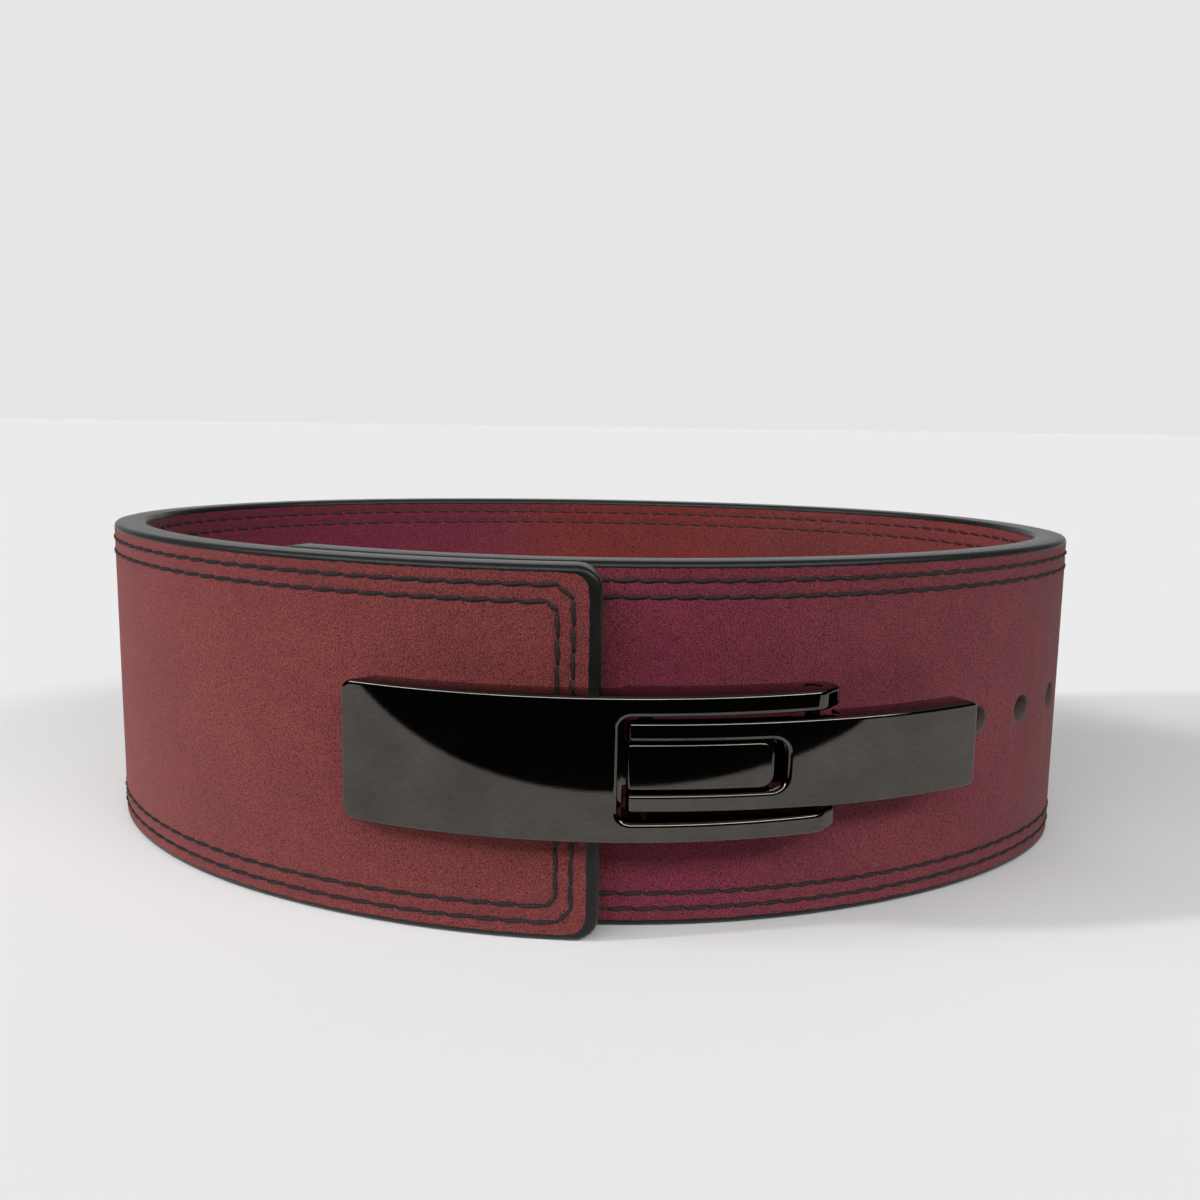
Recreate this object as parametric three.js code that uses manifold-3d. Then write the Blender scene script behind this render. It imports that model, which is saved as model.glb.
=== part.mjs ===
// A lever-fastened weightlifting belt, closed and standing on its lower edge.
// Millimetres, +Z up, the buckle faces -Y. The origin is under the middle of the belt.
//
// Every piece is first made flat, the way the strap lies on a bench, and then bent round the belt.
// In the flat frame x is the length along the belt, y the height and z the distance outwards
// from the outer face of the strap's inner layer. x = 0 is the frontmost point of that face.

import * as THREE from 'three';
import { mergeVertices } from 'three/addons/utils/BufferGeometryUtils.js';
import Module from 'manifold-3d';

const wasm = await Module();
wasm.setup();

// Belt plan
const MEAN_RADIUS = 138;        // length round the inner layer's outer face, divided by a full turn
const PLAN_LOBES = [            // shares of the mean radius that make the round plan an oval
  { lobes: 2, cos: 0.177, sin: -0.03 },
  { lobes: 3, cos: -0.006, sin: 0.011 },
  { lobes: 5, cos: -0.004, sin: -0.008 },
];
const FACET_TURN = 5;           // degrees of turn between two bends of a faceted piece

// Strap
const BELT_HEIGHT = 100;
const LEATHER = 10;
const EDGE_ROUND = 1.5;
const END_CORNER_RADIUS = 6.5;
const LAYER_GAP = 0.4;
const OVERLAP = 102;            // length of the inner end that the outer end covers
const FLAP_END = -2.8;          // where the outer end stops
const LIFT_TURN = 56;           // degrees of turn over which the outer end climbs onto the inner one
const HOLE_DIAMETER = 8.4;
const HOLE_PITCH = 24;
const HOLE_COUNT = 12;
const FASTENED_HOLE = 6;        // index of the hole that the first prong is in

// Clearances
const SEAT_GAP = 0.3;           // between pieces that touch on the real belt
const PIN_GAP = 0.3;            // round a pin, on the radius
const SIDE_GAP = 0.7;           // between the tongue and the hook plate's legs

// Lever
const LEVER_HEIGHT = 38;
const LEVER_DEPTH = 10.1;       // from the flap's seat to the outer face, in the middle
const LEVER_BOW = 3;            // how much lower the outer face is at both ends
const LEVER_PLATE = 2.6;
const LEVER_WALL = 2.8;
const LEVER_CORNER_RADIUS = 3.5;
const GRIP_LENGTH = 67.7;       // from the window's edge to the grip's end
const GRIP_UNDERCUT = 6;        // the finger relief below the grip's end
const ARM_HEIGHT = 5.4;
const ARM_DROP = 2.9;           // how far the arms reach below the flap's outer face
const ARM_DROP_START = 4.8;     // from the flap's end to where the arms get deeper
const WINDOW_CORNER_RADIUS = 3;
const TIP_RADIUS = 6.8;         // the arms' ends round the pivot
const TIP_TOP = 0.8;            // from the pivot to the end of the outer face

// Pivots, along the belt and outwards
const PIVOT_REACH = 52;         // from the flap's end to the lever's pivot
const PIVOT_RISE = 2;           // the lever's pivot above the flap's outer face
const WINDOW_REACH = 48;        // from the pivot back to the window's left edge
const HINGE_REACH = 41.6;       // from the pivot back to the hook plate's hinge
const LEVER_PIN_DIAMETER = 4;
const HOOK_PIN_DIAMETER = 3.4;
const PIN_RECESS = 0.3;
const HINGE_COVER = 1;          // metal left on the arms over the ends of the hook plate's pins

// Hook plate
const HOOK_HEIGHT = 23.6;
const HOOK_DEPTH = 8.8;
const HOOK_PLATE = 2.4;
const HOOK_WALL = 2.6;
const HOOK_RISE = 8.2;          // the outer face above the flap's outer face
const HOOK_END_RISE = 17;       // the outer face above the strap, at the free end
const HOOK_CORNER_RADIUS = 2;
const LEG_HEIGHT = 4.95;
const LEG_END_RADIUS = 1.2;     // between the outer face and the legs' end
const SLOT_CORNER_RADIUS = 4;
const SLOT_BEFORE_PIVOT = 8.1;  // from the slot's end to the pivot
const FALL_AFTER_PIVOT = 7.5;   // from the pivot to where the plate starts to fall
const NOTCH_HALF = 6.5;         // the walls' notch over the lever's pin
const NOTCH_CLEARANCE = 0.5;
const HOOK_END_MARGIN = 4.4;    // from the last prong's hole to the free end
const FIRST_PRONG_REACH = 59.9; // from the hinge to the first prong's hole
const PRONG_COUNT = 2;
const PRONG_ROOT_DIAMETER = 5.4;
const PRONG_TIP_DIAMETER = 4;
const PRONG_BITE = 5.5;         // how deep a prong reaches into the strap
const PRONG_BOSS_DIAMETER = 8;

// Base plate
const BASE_PLATE = 2.5;
const FOOT_HEIGHT = 26.2;
const FOOT_OVERHANG = 5.4;      // from the flap's end out to the foot's end
const FOOT_GRIP_GAP = 4;        // from the grip's end wall to the foot
const FOOT_CORNER_RADIUS = 3;
const PAD_BELOW_HOOK = 0.8;     // the tongue's raised pad below the hook plate's outer face
const PAD_END_GAP = 2.9;        // from the pad to the slot's end
const PAD_CORNER_RADIUS = 2.5;
const BARREL_RADIUS = 3.4;
const SCREW_INSET = 7;          // from the foot's left end to the first screw
const SCREW_FROM_END = 9.5;     // from the flap's end to the second screw
const SCREW_BOSS_DIAMETER = 9;
const SCREW_BOSS_RISE = 1.8;

// Screws
const SCREW_DIAMETER = 5;
const SCREW_HEAD_DIAMETER = 10;
const SCREW_HEAD = 1.7;
const SCREW_HEAD_SINK = 0.2;    // the head's face below the flap's inner face

// Places worked out from the sizes
const MIDDLE = BELT_HEIGHT / 2;
const PERIMETER = 2 * Math.PI * MEAN_RADIUS;
const FRONT = -Math.PI / 2;
const FLAP_IN = LAYER_GAP;
const FLAP_OUT = LAYER_GAP + LEATHER;
const SEAT = FLAP_OUT + SEAT_GAP;
const PIVOT = { along: FLAP_END + PIVOT_REACH, out: FLAP_OUT + PIVOT_RISE };
const HOOK_TOP = FLAP_OUT + HOOK_RISE;
const HINGE = { along: PIVOT.along - HINGE_REACH, out: HOOK_TOP - HOOK_DEPTH / 2 };
const LEG_END = HINGE.along - HOOK_DEPTH / 2;
const SLOT_END = PIVOT.along - SLOT_BEFORE_PIVOT;
const FIRST_PRONG = HINGE.along + FIRST_PRONG_REACH;
const HOOK_END = FIRST_PRONG + (PRONG_COUNT - 1) * HOLE_PITCH + HOOK_END_MARGIN;
const FALL_START = PIVOT.along + FALL_AFTER_PIVOT;
const WINDOW_EDGE = PIVOT.along - WINDOW_REACH;
const GRIP_END = WINDOW_EDGE - GRIP_LENGTH;
const FOOT_LEFT = GRIP_END + GRIP_UNDERCUT + LEVER_WALL + FOOT_GRIP_GAP;
const FOOT_RIGHT = FLAP_END + FOOT_OVERHANG;
const SCREW_PLACES = [FOOT_LEFT + SCREW_INSET, FLAP_END - SCREW_FROM_END];
const TONGUE_HEIGHT = HOOK_HEIGHT - 2 * LEG_HEIGHT - 2 * SIDE_GAP;
const ROUND_SIDES = 16;

// The plan is a support function: its tangent line that faces an angle lies this far from the middle.
function support(angle) {
  let distance = 1;
  let slope = 0;
  for (const { lobes, cos, sin } of PLAN_LOBES) {
    distance += cos * Math.cos(lobes * angle) + sin * Math.sin(lobes * angle);
    slope += lobes * (sin * Math.cos(lobes * angle) - cos * Math.sin(lobes * angle));
  }
  return { distance: MEAN_RADIUS * distance, slope: MEAN_RADIUS * slope };
}

// Length along the plan up to an angle, from the frontmost point
function turnedLength(angle) {
  let length = angle;
  for (const { lobes, cos, sin } of PLAN_LOBES) {
    const share = (1 - lobes * lobes) / lobes;
    length += share * (cos * Math.sin(lobes * angle) - sin * Math.cos(lobes * angle));
  }
  return MEAN_RADIUS * length;
}
const alongAt = (angle) => turnedLength(angle) - turnedLength(FRONT);

// The angle that the belt faces at a length along it, found by halving
function angleAt(along) {
  let low = FRONT + (along / PERIMETER - 1) * 2 * Math.PI;
  let high = low + 4 * Math.PI;
  for (let step = 0; step < 48; step += 1) {
    const middle = (low + high) / 2;
    if (alongAt(middle) < along) low = middle;
    else high = middle;
  }
  return (low + high) / 2;
}

function planPoint(angle, out) {
  const { distance, slope } = support(angle);
  const reach = distance + out;
  return new THREE.Vector2(
    reach * Math.cos(angle) - slope * Math.sin(angle),
    reach * Math.sin(angle) + slope * Math.cos(angle),
  );
}

// The outer end climbs onto the inner one in a smooth step that ends above the inner end's tip.
const LIFT_END = angleAt(PERIMETER - OVERLAP);
const LIFT_START = LIFT_END - THREE.MathUtils.degToRad(LIFT_TURN);
const lift = (angle) => FLAP_OUT * THREE.MathUtils.smoothstep(angle, LIFT_START, LIFT_END);

// Closed geometry to solid and back
function solidOf(geometry) {
  const bare = geometry.index ? geometry.toNonIndexed() : geometry.clone();
  bare.deleteAttribute('normal');
  bare.deleteAttribute('uv');
  const merged = mergeVertices(bare, 1e-4);
  return new wasm.Manifold(new wasm.Mesh({
    numProp: 3,
    vertProperties: new Float32Array(merged.attributes.position.array),
    triVerts: new Uint32Array(merged.index.array),
  }));
}

function geometryOf(solid) {
  const { vertProperties, triVerts } = solid.getMesh();
  const geometry = new THREE.BufferGeometry();
  geometry.setAttribute('position', new THREE.BufferAttribute(new Float32Array(vertProperties), 3));
  geometry.setIndex(new THREE.BufferAttribute(new Uint32Array(triVerts), 1));
  geometry.computeVertexNormals();
  return geometry;
}

const join = (solids) => solids.reduce((whole, solid) => whole.add(solid));
const cut = (solid, tools) => tools.reduce((rest, tool) => rest.subtract(tool), solid);

// A rounded rectangle; radii are given for the left and the right corners.
function roundedBox(left, right, low, high, leftRadius, rightRadius) {
  const shape = new THREE.Shape();
  shape.moveTo(left + leftRadius, low);
  shape.lineTo(right - rightRadius, low);
  if (rightRadius > 0) shape.absarc(right - rightRadius, low + rightRadius, rightRadius, FRONT, 0);
  shape.lineTo(right, high - rightRadius);
  if (rightRadius > 0) shape.absarc(right - rightRadius, high - rightRadius, rightRadius, 0, -FRONT);
  shape.lineTo(left + leftRadius, high);
  if (leftRadius > 0) shape.absarc(left + leftRadius, high - leftRadius, leftRadius, -FRONT, Math.PI);
  shape.lineTo(left, low + leftRadius);
  if (leftRadius > 0) shape.absarc(left + leftRadius, low + leftRadius, leftRadius, Math.PI, -3 * FRONT);
  return shape;
}

// An outline seen from the front, made as thick as from one distance outwards to another
function slab(shape, from, to) {
  const geometry = new THREE.ExtrudeGeometry(shape, {
    depth: to - from,
    curveSegments: 4,
    bevelEnabled: false,
  });
  return solidOf(geometry.translate(0, 0, from));
}

// A profile seen from above, in length and distance outwards, made from one height to another
function bar(points, low, high) {
  const shape = new THREE.Shape(points.map(([along, out]) => new THREE.Vector2(along, out)));
  const geometry = new THREE.ExtrudeGeometry(shape, { depth: high - low, bevelEnabled: false });
  return solidOf(geometry.rotateX(-FRONT).translate(0, high, 0));
}

// A round peg at mid height that points straight out of the bent belt
function peg(along, diameter, from, to) {
  const angle = angleAt(along);
  const geometry = new THREE.CylinderGeometry(diameter / 2, diameter / 2, to - from, ROUND_SIDES);
  const point = planPoint(angle, (from + to) / 2);
  return solidOf(geometry.rotateZ(FRONT + angle).translate(point.x, point.y, MIDDLE));
}

// A round upright rod at a place on the bent belt
function rod(place, radius, low, high) {
  const geometry = new THREE.CylinderGeometry(radius, radius, high - low, ROUND_SIDES);
  const point = planPoint(angleAt(place.along), place.out);
  return solidOf(geometry.rotateX(-FRONT).translate(point.x, point.y, (low + high) / 2));
}

// The lengths at which flat pieces get their bends
function bendLines(from, to) {
  const turn = THREE.MathUtils.degToRad(FACET_TURN);
  const lines = [];
  for (let step = Math.ceil(angleAt(from) / turn); step * turn < angleAt(to); step += 1) {
    lines.push(alongAt(step * turn));
  }
  return lines;
}

// The point where an edge crosses a bend line; the same from both sides of the edge
function crossing(a, b, line) {
  const [first, second] = a.x < b.x ? [a, b] : [b, a];
  const share = (line - first.x) / (second.x - first.x);
  return new THREE.Vector3(
    line,
    first.y + share * (second.y - first.y),
    first.z + share * (second.z - first.z),
  );
}

// The part of a triangle between two bend lines, as the corners of a convex polygon
function strip(triangle, left, right) {
  const corners = [];
  const add = (point) => {
    if (!corners.some((corner) => corner.distanceTo(point) < 1e-6)) corners.push(point);
  };
  triangle.forEach((a, index) => {
    const b = triangle[(index + 1) % 3];
    if (Math.max(a.x, b.x) < left || Math.min(a.x, b.x) > right) return;
    if (a.x < left) add(crossing(a, b, left));
    else if (a.x > right) add(crossing(a, b, right));
    else add(a);
    if (b.x < left) add(crossing(a, b, left));
    else if (b.x > right) add(crossing(a, b, right));
    else add(b);
  });
  return corners;
}

// Bends a flat solid round the belt: its triangles are split at the bend lines and then moved.
function bend(solid) {
  const flat = geometryOf(solid).toNonIndexed().attributes.position;
  const corners = [];
  for (let i = 0; i < flat.count; i += 1) corners.push(new THREE.Vector3().fromBufferAttribute(flat, i));
  const lengths = corners.map((corner) => corner.x);
  const ends = [lengths.reduce((a, b) => Math.min(a, b)), lengths.reduce((a, b) => Math.max(a, b))];
  const lines = [ends[0] - 1, ...bendLines(...ends), ends[1] + 1];
  for (const corner of corners) {
    const near = lines.find((line) => Math.abs(line - corner.x) < 0.02);
    if (near !== undefined) corner.x = near;
  }
  const bent = [];
  for (let i = 0; i < corners.length; i += 3) {
    const triangle = corners.slice(i, i + 3);
    for (let k = 0; k + 1 < lines.length; k += 1) {
      const polygon = strip(triangle, lines[k], lines[k + 1]);
      for (let j = 1; j + 1 < polygon.length; j += 1) bent.push(polygon[0], polygon[j], polygon[j + 1]);
    }
  }
  const positions = bent.flatMap((point) => {
    const place = planPoint(angleAt(point.x), point.z);
    return [place.x, place.y, point.y];
  });
  const geometry = new THREE.BufferGeometry();
  geometry.setAttribute('position', new THREE.BufferAttribute(new Float32Array(positions), 3));
  return solidOf(geometry);
}

// Evenly spaced lengths from one end to the other
const spread = (from, to, steps) => (
  Array.from({ length: steps + 1 }, (_, i) => from + ((to - from) * i) / steps)
);

// One upright section of the strap. Its chain of points runs over the rounded edge, from the inner
// face to the outer one; turn goes from 0 at the strap's very end to a quarter where its corner is over.
function strapSection(end, direction, turn) {
  const chain = [];
  for (const side of [-1, 1]) {
    for (const share of side < 0 ? [1, 0.5, 0] : [0, 0.5, 1]) {
      const slope = share * (Math.PI / 2);
      const inset = EDGE_ROUND * (1 - Math.cos(slope));
      const radius = END_CORNER_RADIUS - inset;
      chain.push({
        along: end + direction * (inset + radius * (1 - Math.cos(turn))),
        up: inset + radius * (1 - Math.sin(turn)),
        out: -LEATHER / 2 + side * (LEATHER / 2 - EDGE_ROUND + EDGE_ROUND * Math.sin(slope)),
      });
    }
  }
  return chain;
}

// The plain strap, lofted through its sections
function strapBody() {
  const tip = -OVERLAP;
  const end = PERIMETER + FLAP_END;
  const turns = spread(0, Math.PI / 2, 4);
  const straight = strapSection(0, 1, Math.PI / 2);
  const sections = [
    ...turns.map((turn) => strapSection(tip, 1, turn)),
    ...bendLines(tip + END_CORNER_RADIUS + 1, end - END_CORNER_RADIUS - 1)
      .map((along) => straight.map((point) => ({ ...point, along }))),
    ...turns.map((turn) => strapSection(end, -1, turn)).reverse(),
  ];
  const count = straight.length;
  const place = ({ along, up, out }, top) => {
    const angle = angleAt(along);
    const point = planPoint(angle, out + lift(angle));
    return [point.x, point.y, top ? BELT_HEIGHT - up : up];
  };
  const positions = sections.flatMap((section) => [
    ...section.map((point) => place(point, true)),
    ...[...section].reverse().map((point) => place(point, false)),
  ]).flat();
  const ring = 2 * count;
  const index = [];
  const quad = (a, b, c, d) => index.push(a, b, c, a, c, d);
  for (let i = 0; i + 1 < sections.length; i += 1) {
    for (let j = 0; j < ring; j += 1) {
      const next = (j + 1) % ring;
      quad(i * ring + j, i * ring + next, (i + 1) * ring + next, (i + 1) * ring + j);
    }
  }
  const last = (sections.length - 1) * ring;
  for (let j = 0; j + 1 < count; j += 1) {
    quad(j, ring - 1 - j, ring - 2 - j, j + 1);
    quad(last + j, last + j + 1, last + ring - 2 - j, last + ring - 1 - j);
  }
  const geometry = new THREE.BufferGeometry();
  geometry.setAttribute('position', new THREE.BufferAttribute(new Float32Array(positions), 3));
  geometry.setIndex(index);
  return solidOf(geometry);
}

// The strap, one piece of leather with a row of holes and the screws' holes in its outer end
function makeStrap() {
  const tools = [];
  for (let i = 0; i < HOLE_COUNT; i += 1) {
    const along = FIRST_PRONG + (i - FASTENED_HOLE) * HOLE_PITCH;
    tools.push(peg(along, HOLE_DIAMETER, -LEATHER - 1, LAYER_GAP / 2));
  }
  for (const along of SCREW_PLACES) {
    const seat = FLAP_IN + SCREW_HEAD_SINK + SCREW_HEAD + SEAT_GAP;
    tools.push(peg(along, SCREW_DIAMETER + 2 * PIN_GAP, FLAP_IN / 2, FLAP_OUT + 1));
    tools.push(peg(along, SCREW_HEAD_DIAMETER + 2 * PIN_GAP, FLAP_IN / 2, seat));
  }
  return cut(strapBody(), tools);
}

// The lever's outer face, highest in the middle of its length
function leverTop(along) {
  const tip = PIVOT.along + TIP_RADIUS;
  const middle = (GRIP_END + tip) / 2;
  const share = (along - middle) / ((tip - GRIP_END) / 2);
  return SEAT + LEVER_DEPTH - LEVER_BOW * share * share;
}

// The lever, a hollow grip with two arms that reach past the window to the pivot
function makeLever() {
  const low = MIDDLE - LEVER_HEIGHT / 2;
  const high = MIDDLE + LEVER_HEIGHT / 2;
  const armFoot = FLAP_OUT - ARM_DROP;
  const dropStart = FLAP_END + ARM_DROP_START;
  const tip = PIVOT.along + TIP_RADIUS;
  const tipTop = PIVOT.along + TIP_TOP;
  const top = spread(tipTop, GRIP_END, 12).map((along) => [along, leverTop(along)]);
  const end = spread(FRONT * 0.75, 0, 3).map((turn) => [
    PIVOT.along + TIP_RADIUS * Math.cos(turn),
    Math.max(armFoot, PIVOT.out + TIP_RADIUS * Math.sin(turn)),
  ]);
  const body = bar([
    [GRIP_END + GRIP_UNDERCUT, SEAT],
    [dropStart, SEAT],
    [dropStart + 1, armFoot],
    [end[0][0] - 1, armFoot],
    ...end,
    ...top,
  ], low, high);
  const outline = roundedBox(GRIP_END, tip + 1, low, high, LEVER_CORNER_RADIUS, 0);
  const hollow = bar([
    [GRIP_END + GRIP_UNDERCUT + LEVER_WALL, SEAT - 1],
    [WINDOW_EDGE + 1, SEAT - 1],
    ...spread(WINDOW_EDGE + 1, GRIP_END + LEVER_WALL, 8).map((along) => [along, leverTop(along) - LEVER_PLATE]),
  ], low + LEVER_WALL, high - LEVER_WALL);
  const window = slab(
    roundedBox(WINDOW_EDGE, tip + 2, low + ARM_HEIGHT, high - ARM_HEIGHT, WINDOW_CORNER_RADIUS, 0),
    armFoot - 1,
    SEAT + LEVER_DEPTH + 1,
  );
  const flat = cut(body.intersect(slab(outline, armFoot - 1, SEAT + LEVER_DEPTH + 1)), [hollow, window]);
  return cut(bend(flat), [
    rod(PIVOT, LEVER_PIN_DIAMETER / 2 + PIN_GAP, low - 1, high + 1),
    rod(HINGE, HOOK_PIN_DIAMETER / 2 + PIN_GAP, low + HINGE_COVER, high - HINGE_COVER),
  ]);
}

// The hook plate's outer face falls towards the strap like a quarter of a wave.
function hookTop(along) {
  const share = THREE.MathUtils.clamp((along - FALL_START) / (HOOK_END - FALL_START), 0, 1);
  return HOOK_TOP - (HOOK_TOP - HOOK_END_RISE) * (1 - Math.cos((share * Math.PI) / 2));
}

// Both prongs point the way the plate first moves when the lever opens.
function prongSolids() {
  const pivot = planPoint(angleAt(PIVOT.along), PIVOT.out);
  const hinge = planPoint(angleAt(HINGE.along), HINGE.out);
  const arm = new THREE.Vector2().subVectors(hinge, pivot).normalize();
  const inward = new THREE.Vector3(arm.y, -arm.x, 0);
  const solids = [];
  for (let i = 0; i < PRONG_COUNT; i += 1) {
    const along = FIRST_PRONG + i * HOLE_PITCH;
    const mouth = planPoint(angleAt(along), -PRONG_BITE / 2);
    const centre = new THREE.Vector3(mouth.x, mouth.y, MIDDLE);
    const root = hookTop(along) - HOOK_PLATE / 2 + PRONG_BITE / 2;
    const length = root + PRONG_BITE / 2;
    const bossLength = HOOK_DEPTH - HOOK_PLATE;
    const upright = new THREE.Quaternion().setFromUnitVectors(new THREE.Vector3(0, -1, 0), inward);
    const prong = new THREE.CylinderGeometry(PRONG_ROOT_DIAMETER / 2, PRONG_TIP_DIAMETER / 2, length, ROUND_SIDES);
    const boss = new THREE.CylinderGeometry(PRONG_BOSS_DIAMETER / 2, PRONG_BOSS_DIAMETER / 2, bossLength, ROUND_SIDES);
    prong.applyQuaternion(upright).translate(...centre.clone().addScaledVector(inward, -(length - PRONG_BITE) / 2));
    boss.applyQuaternion(upright).translate(...centre.clone().addScaledVector(inward, bossLength / 2 - root));
    solids.push(solidOf(prong), solidOf(boss));
  }
  return solids;
}

// The hook plate: two legs beside the slot, a channel over the pivot and two prongs at its free end
function makeHookPlate() {
  const low = MIDDLE - HOOK_HEIGHT / 2;
  const high = MIDDLE + HOOK_HEIGHT / 2;
  const radius = HOOK_DEPTH / 2;
  const legCorner = spread(Math.PI / 2, Math.PI, 3).map((turn) => [
    LEG_END + LEG_END_RADIUS * (1 + Math.cos(turn)),
    HOOK_TOP - LEG_END_RADIUS * (1 - Math.sin(turn)),
  ]);
  const knuckle = spread(Math.PI, 1.5 * Math.PI, 3).map((turn) => [
    HINGE.along + radius * Math.cos(turn),
    HINGE.out + radius * Math.sin(turn),
  ]);
  const falling = spread(FALL_START, HOOK_END, 8);
  const body = bar([
    ...legCorner,
    ...knuckle,
    ...falling.map((along) => [along, hookTop(along) - HOOK_DEPTH]),
    ...falling.reverse().map((along) => [along, hookTop(along)]),
  ], low, high);
  const outline = roundedBox(LEG_END - 1, HOOK_END, low, high, 0, HOOK_CORNER_RADIUS);
  const slot = slab(
    roundedBox(LEG_END - 2, SLOT_END, low + LEG_HEIGHT, high - LEG_HEIGHT, 0, SLOT_CORNER_RADIUS),
    0,
    HOOK_TOP + 1,
  );
  const inside = spread(SLOT_END - SLOT_CORNER_RADIUS, HOOK_END - HOOK_WALL, 9);
  const hollow = bar([
    ...inside.map((along) => [along, hookTop(along) - HOOK_DEPTH - 1]),
    ...inside.reverse().map((along) => [along, hookTop(along) - HOOK_PLATE]),
  ], low + HOOK_WALL, high - HOOK_WALL);
  const notchTop = PIVOT.out + LEVER_PIN_DIAMETER / 2 + NOTCH_CLEARANCE;
  const notch = slab(
    roundedBox(PIVOT.along - NOTCH_HALF, PIVOT.along + NOTCH_HALF, low - 1, high + 1, 0, 0),
    0,
    notchTop,
  );
  const flat = cut(body.intersect(slab(outline, -LEATHER, HOOK_TOP + 1)), [slot, hollow, notch]);
  const bores = [rod(HINGE, HOOK_PIN_DIAMETER / 2 + PIN_GAP, low - 1, high + 1)];
  return cut(join([bend(flat), ...prongSolids()]), bores);
}

// The base plate: a foot under the grip, a tongue with a raised pad, and the pivot's barrel
function makeBasePlate() {
  const low = MIDDLE - TONGUE_HEIGHT / 2;
  const high = MIDDLE + TONGUE_HEIGHT / 2;
  const top = SEAT + BASE_PLATE;
  const foot = slab(roundedBox(
    FOOT_LEFT,
    FOOT_RIGHT,
    MIDDLE - FOOT_HEIGHT / 2,
    MIDDLE + FOOT_HEIGHT / 2,
    FOOT_CORNER_RADIUS,
    FOOT_CORNER_RADIUS,
  ), SEAT, top);
  const tongue = bar([
    [FOOT_RIGHT - FOOT_CORNER_RADIUS, SEAT],
    [PIVOT.along, SEAT],
    [PIVOT.along, top],
    [FOOT_RIGHT - FOOT_CORNER_RADIUS, top],
  ], low, high);
  const padOutline = roundedBox(LEG_END, SLOT_END - PAD_END_GAP, low, high, PAD_CORNER_RADIUS / 3, PAD_CORNER_RADIUS);
  const pad = slab(padOutline, SEAT, HOOK_TOP - PAD_BELOW_HOOK);
  const bossFoot = SEAT + BASE_PLATE / 2;
  const bosses = SCREW_PLACES.map((along) => peg(along, SCREW_BOSS_DIAMETER, bossFoot, top + SCREW_BOSS_RISE));
  const holes = SCREW_PLACES.map((along) => (
    peg(along, SCREW_DIAMETER + 2 * PIN_GAP, SEAT - 1, top + SCREW_BOSS_RISE + 1)
  ));
  const barrel = rod(PIVOT, BARREL_RADIUS, low, high);
  const bore = rod(PIVOT, LEVER_PIN_DIAMETER / 2 + PIN_GAP, low - 1, high + 1);
  return cut(join([bend(join([foot, tongue, pad])), ...bosses, barrel]), [...holes, bore]);
}

// A screw from the flap's inner face into the base plate's boss
function makeScrew(place) {
  const face = FLAP_IN + SCREW_HEAD_SINK;
  const tip = SEAT + BASE_PLATE + SCREW_BOSS_RISE - PIN_RECESS;
  return join([
    peg(place, SCREW_HEAD_DIAMETER, face, face + SCREW_HEAD),
    peg(place, SCREW_DIAMETER, face, tip),
  ]);
}

const makeLeverPin = () => rod(
  PIVOT,
  LEVER_PIN_DIAMETER / 2,
  MIDDLE - LEVER_HEIGHT / 2 + PIN_RECESS,
  MIDDLE + LEVER_HEIGHT / 2 - PIN_RECESS,
);

// A short pin through one arm and one leg; side is 1 above and -1 below
function makeHookPin(side) {
  const inner = MIDDLE + side * (HOOK_HEIGHT / 2 - LEG_HEIGHT + PIN_RECESS);
  const outer = MIDDLE + side * (LEVER_HEIGHT / 2 - HINGE_COVER - PIN_RECESS);
  return rod(HINGE, HOOK_PIN_DIAMETER / 2, Math.min(inner, outer), Math.max(inner, outer));
}

const leather = new THREE.MeshStandardMaterial({ color: 0x6e3037, roughness: 0.85, metalness: 0 });
const blackMetal = new THREE.MeshStandardMaterial({ color: 0x2b2926, roughness: 0.18, metalness: 1 });
const steel = new THREE.MeshStandardMaterial({ color: 0x8c8b88, roughness: 0.35, metalness: 1 });

function addPiece(group, name, solid, material) {
  const mesh = new THREE.Mesh(geometryOf(solid), material);
  mesh.name = name;
  group.add(mesh);
}

const belt = new THREE.Group();
addPiece(belt, 'belt_strap', makeStrap(), leather);
addPiece(belt, 'base_plate', makeBasePlate(), blackMetal);
SCREW_PLACES.forEach((place, i) => addPiece(belt, `base_screw_${i + 1}`, makeScrew(place), steel));
addPiece(belt, 'lever_pin', makeLeverPin(), steel);
addPiece(belt, 'lever', makeLever(), blackMetal);
addPiece(belt, 'hook_pin_upper', makeHookPin(1), steel);
addPiece(belt, 'hook_pin_lower', makeHookPin(-1), steel);
addPiece(belt, 'hook_plate', makeHookPlate(), blackMetal);

// The plan's own middle isn't the middle of its outline, so the belt is moved onto the origin.
const bounds = new THREE.Box3().setFromObject(belt, true);
const centre = bounds.getCenter(new THREE.Vector3());
belt.position.set(-centre.x, -centre.y, -bounds.min.z);

export default belt;
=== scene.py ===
# %% [markdown]
# A lever belt for weightlifting, closed and standing on its edge. The strap is one thick piece of
# maroon nubuck with black painted edges and two rows of black stitches. The buckle is polished
# black metal. This lesson dresses the plain solids of the belt, step by step. The solids stay
# where they are, and a finer piece stands for each of them but the two screws, which only get a finish.

# %% The frame
import math

import bmesh
import bpy
import numpy as np
from mathutils import Matrix, Vector


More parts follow.
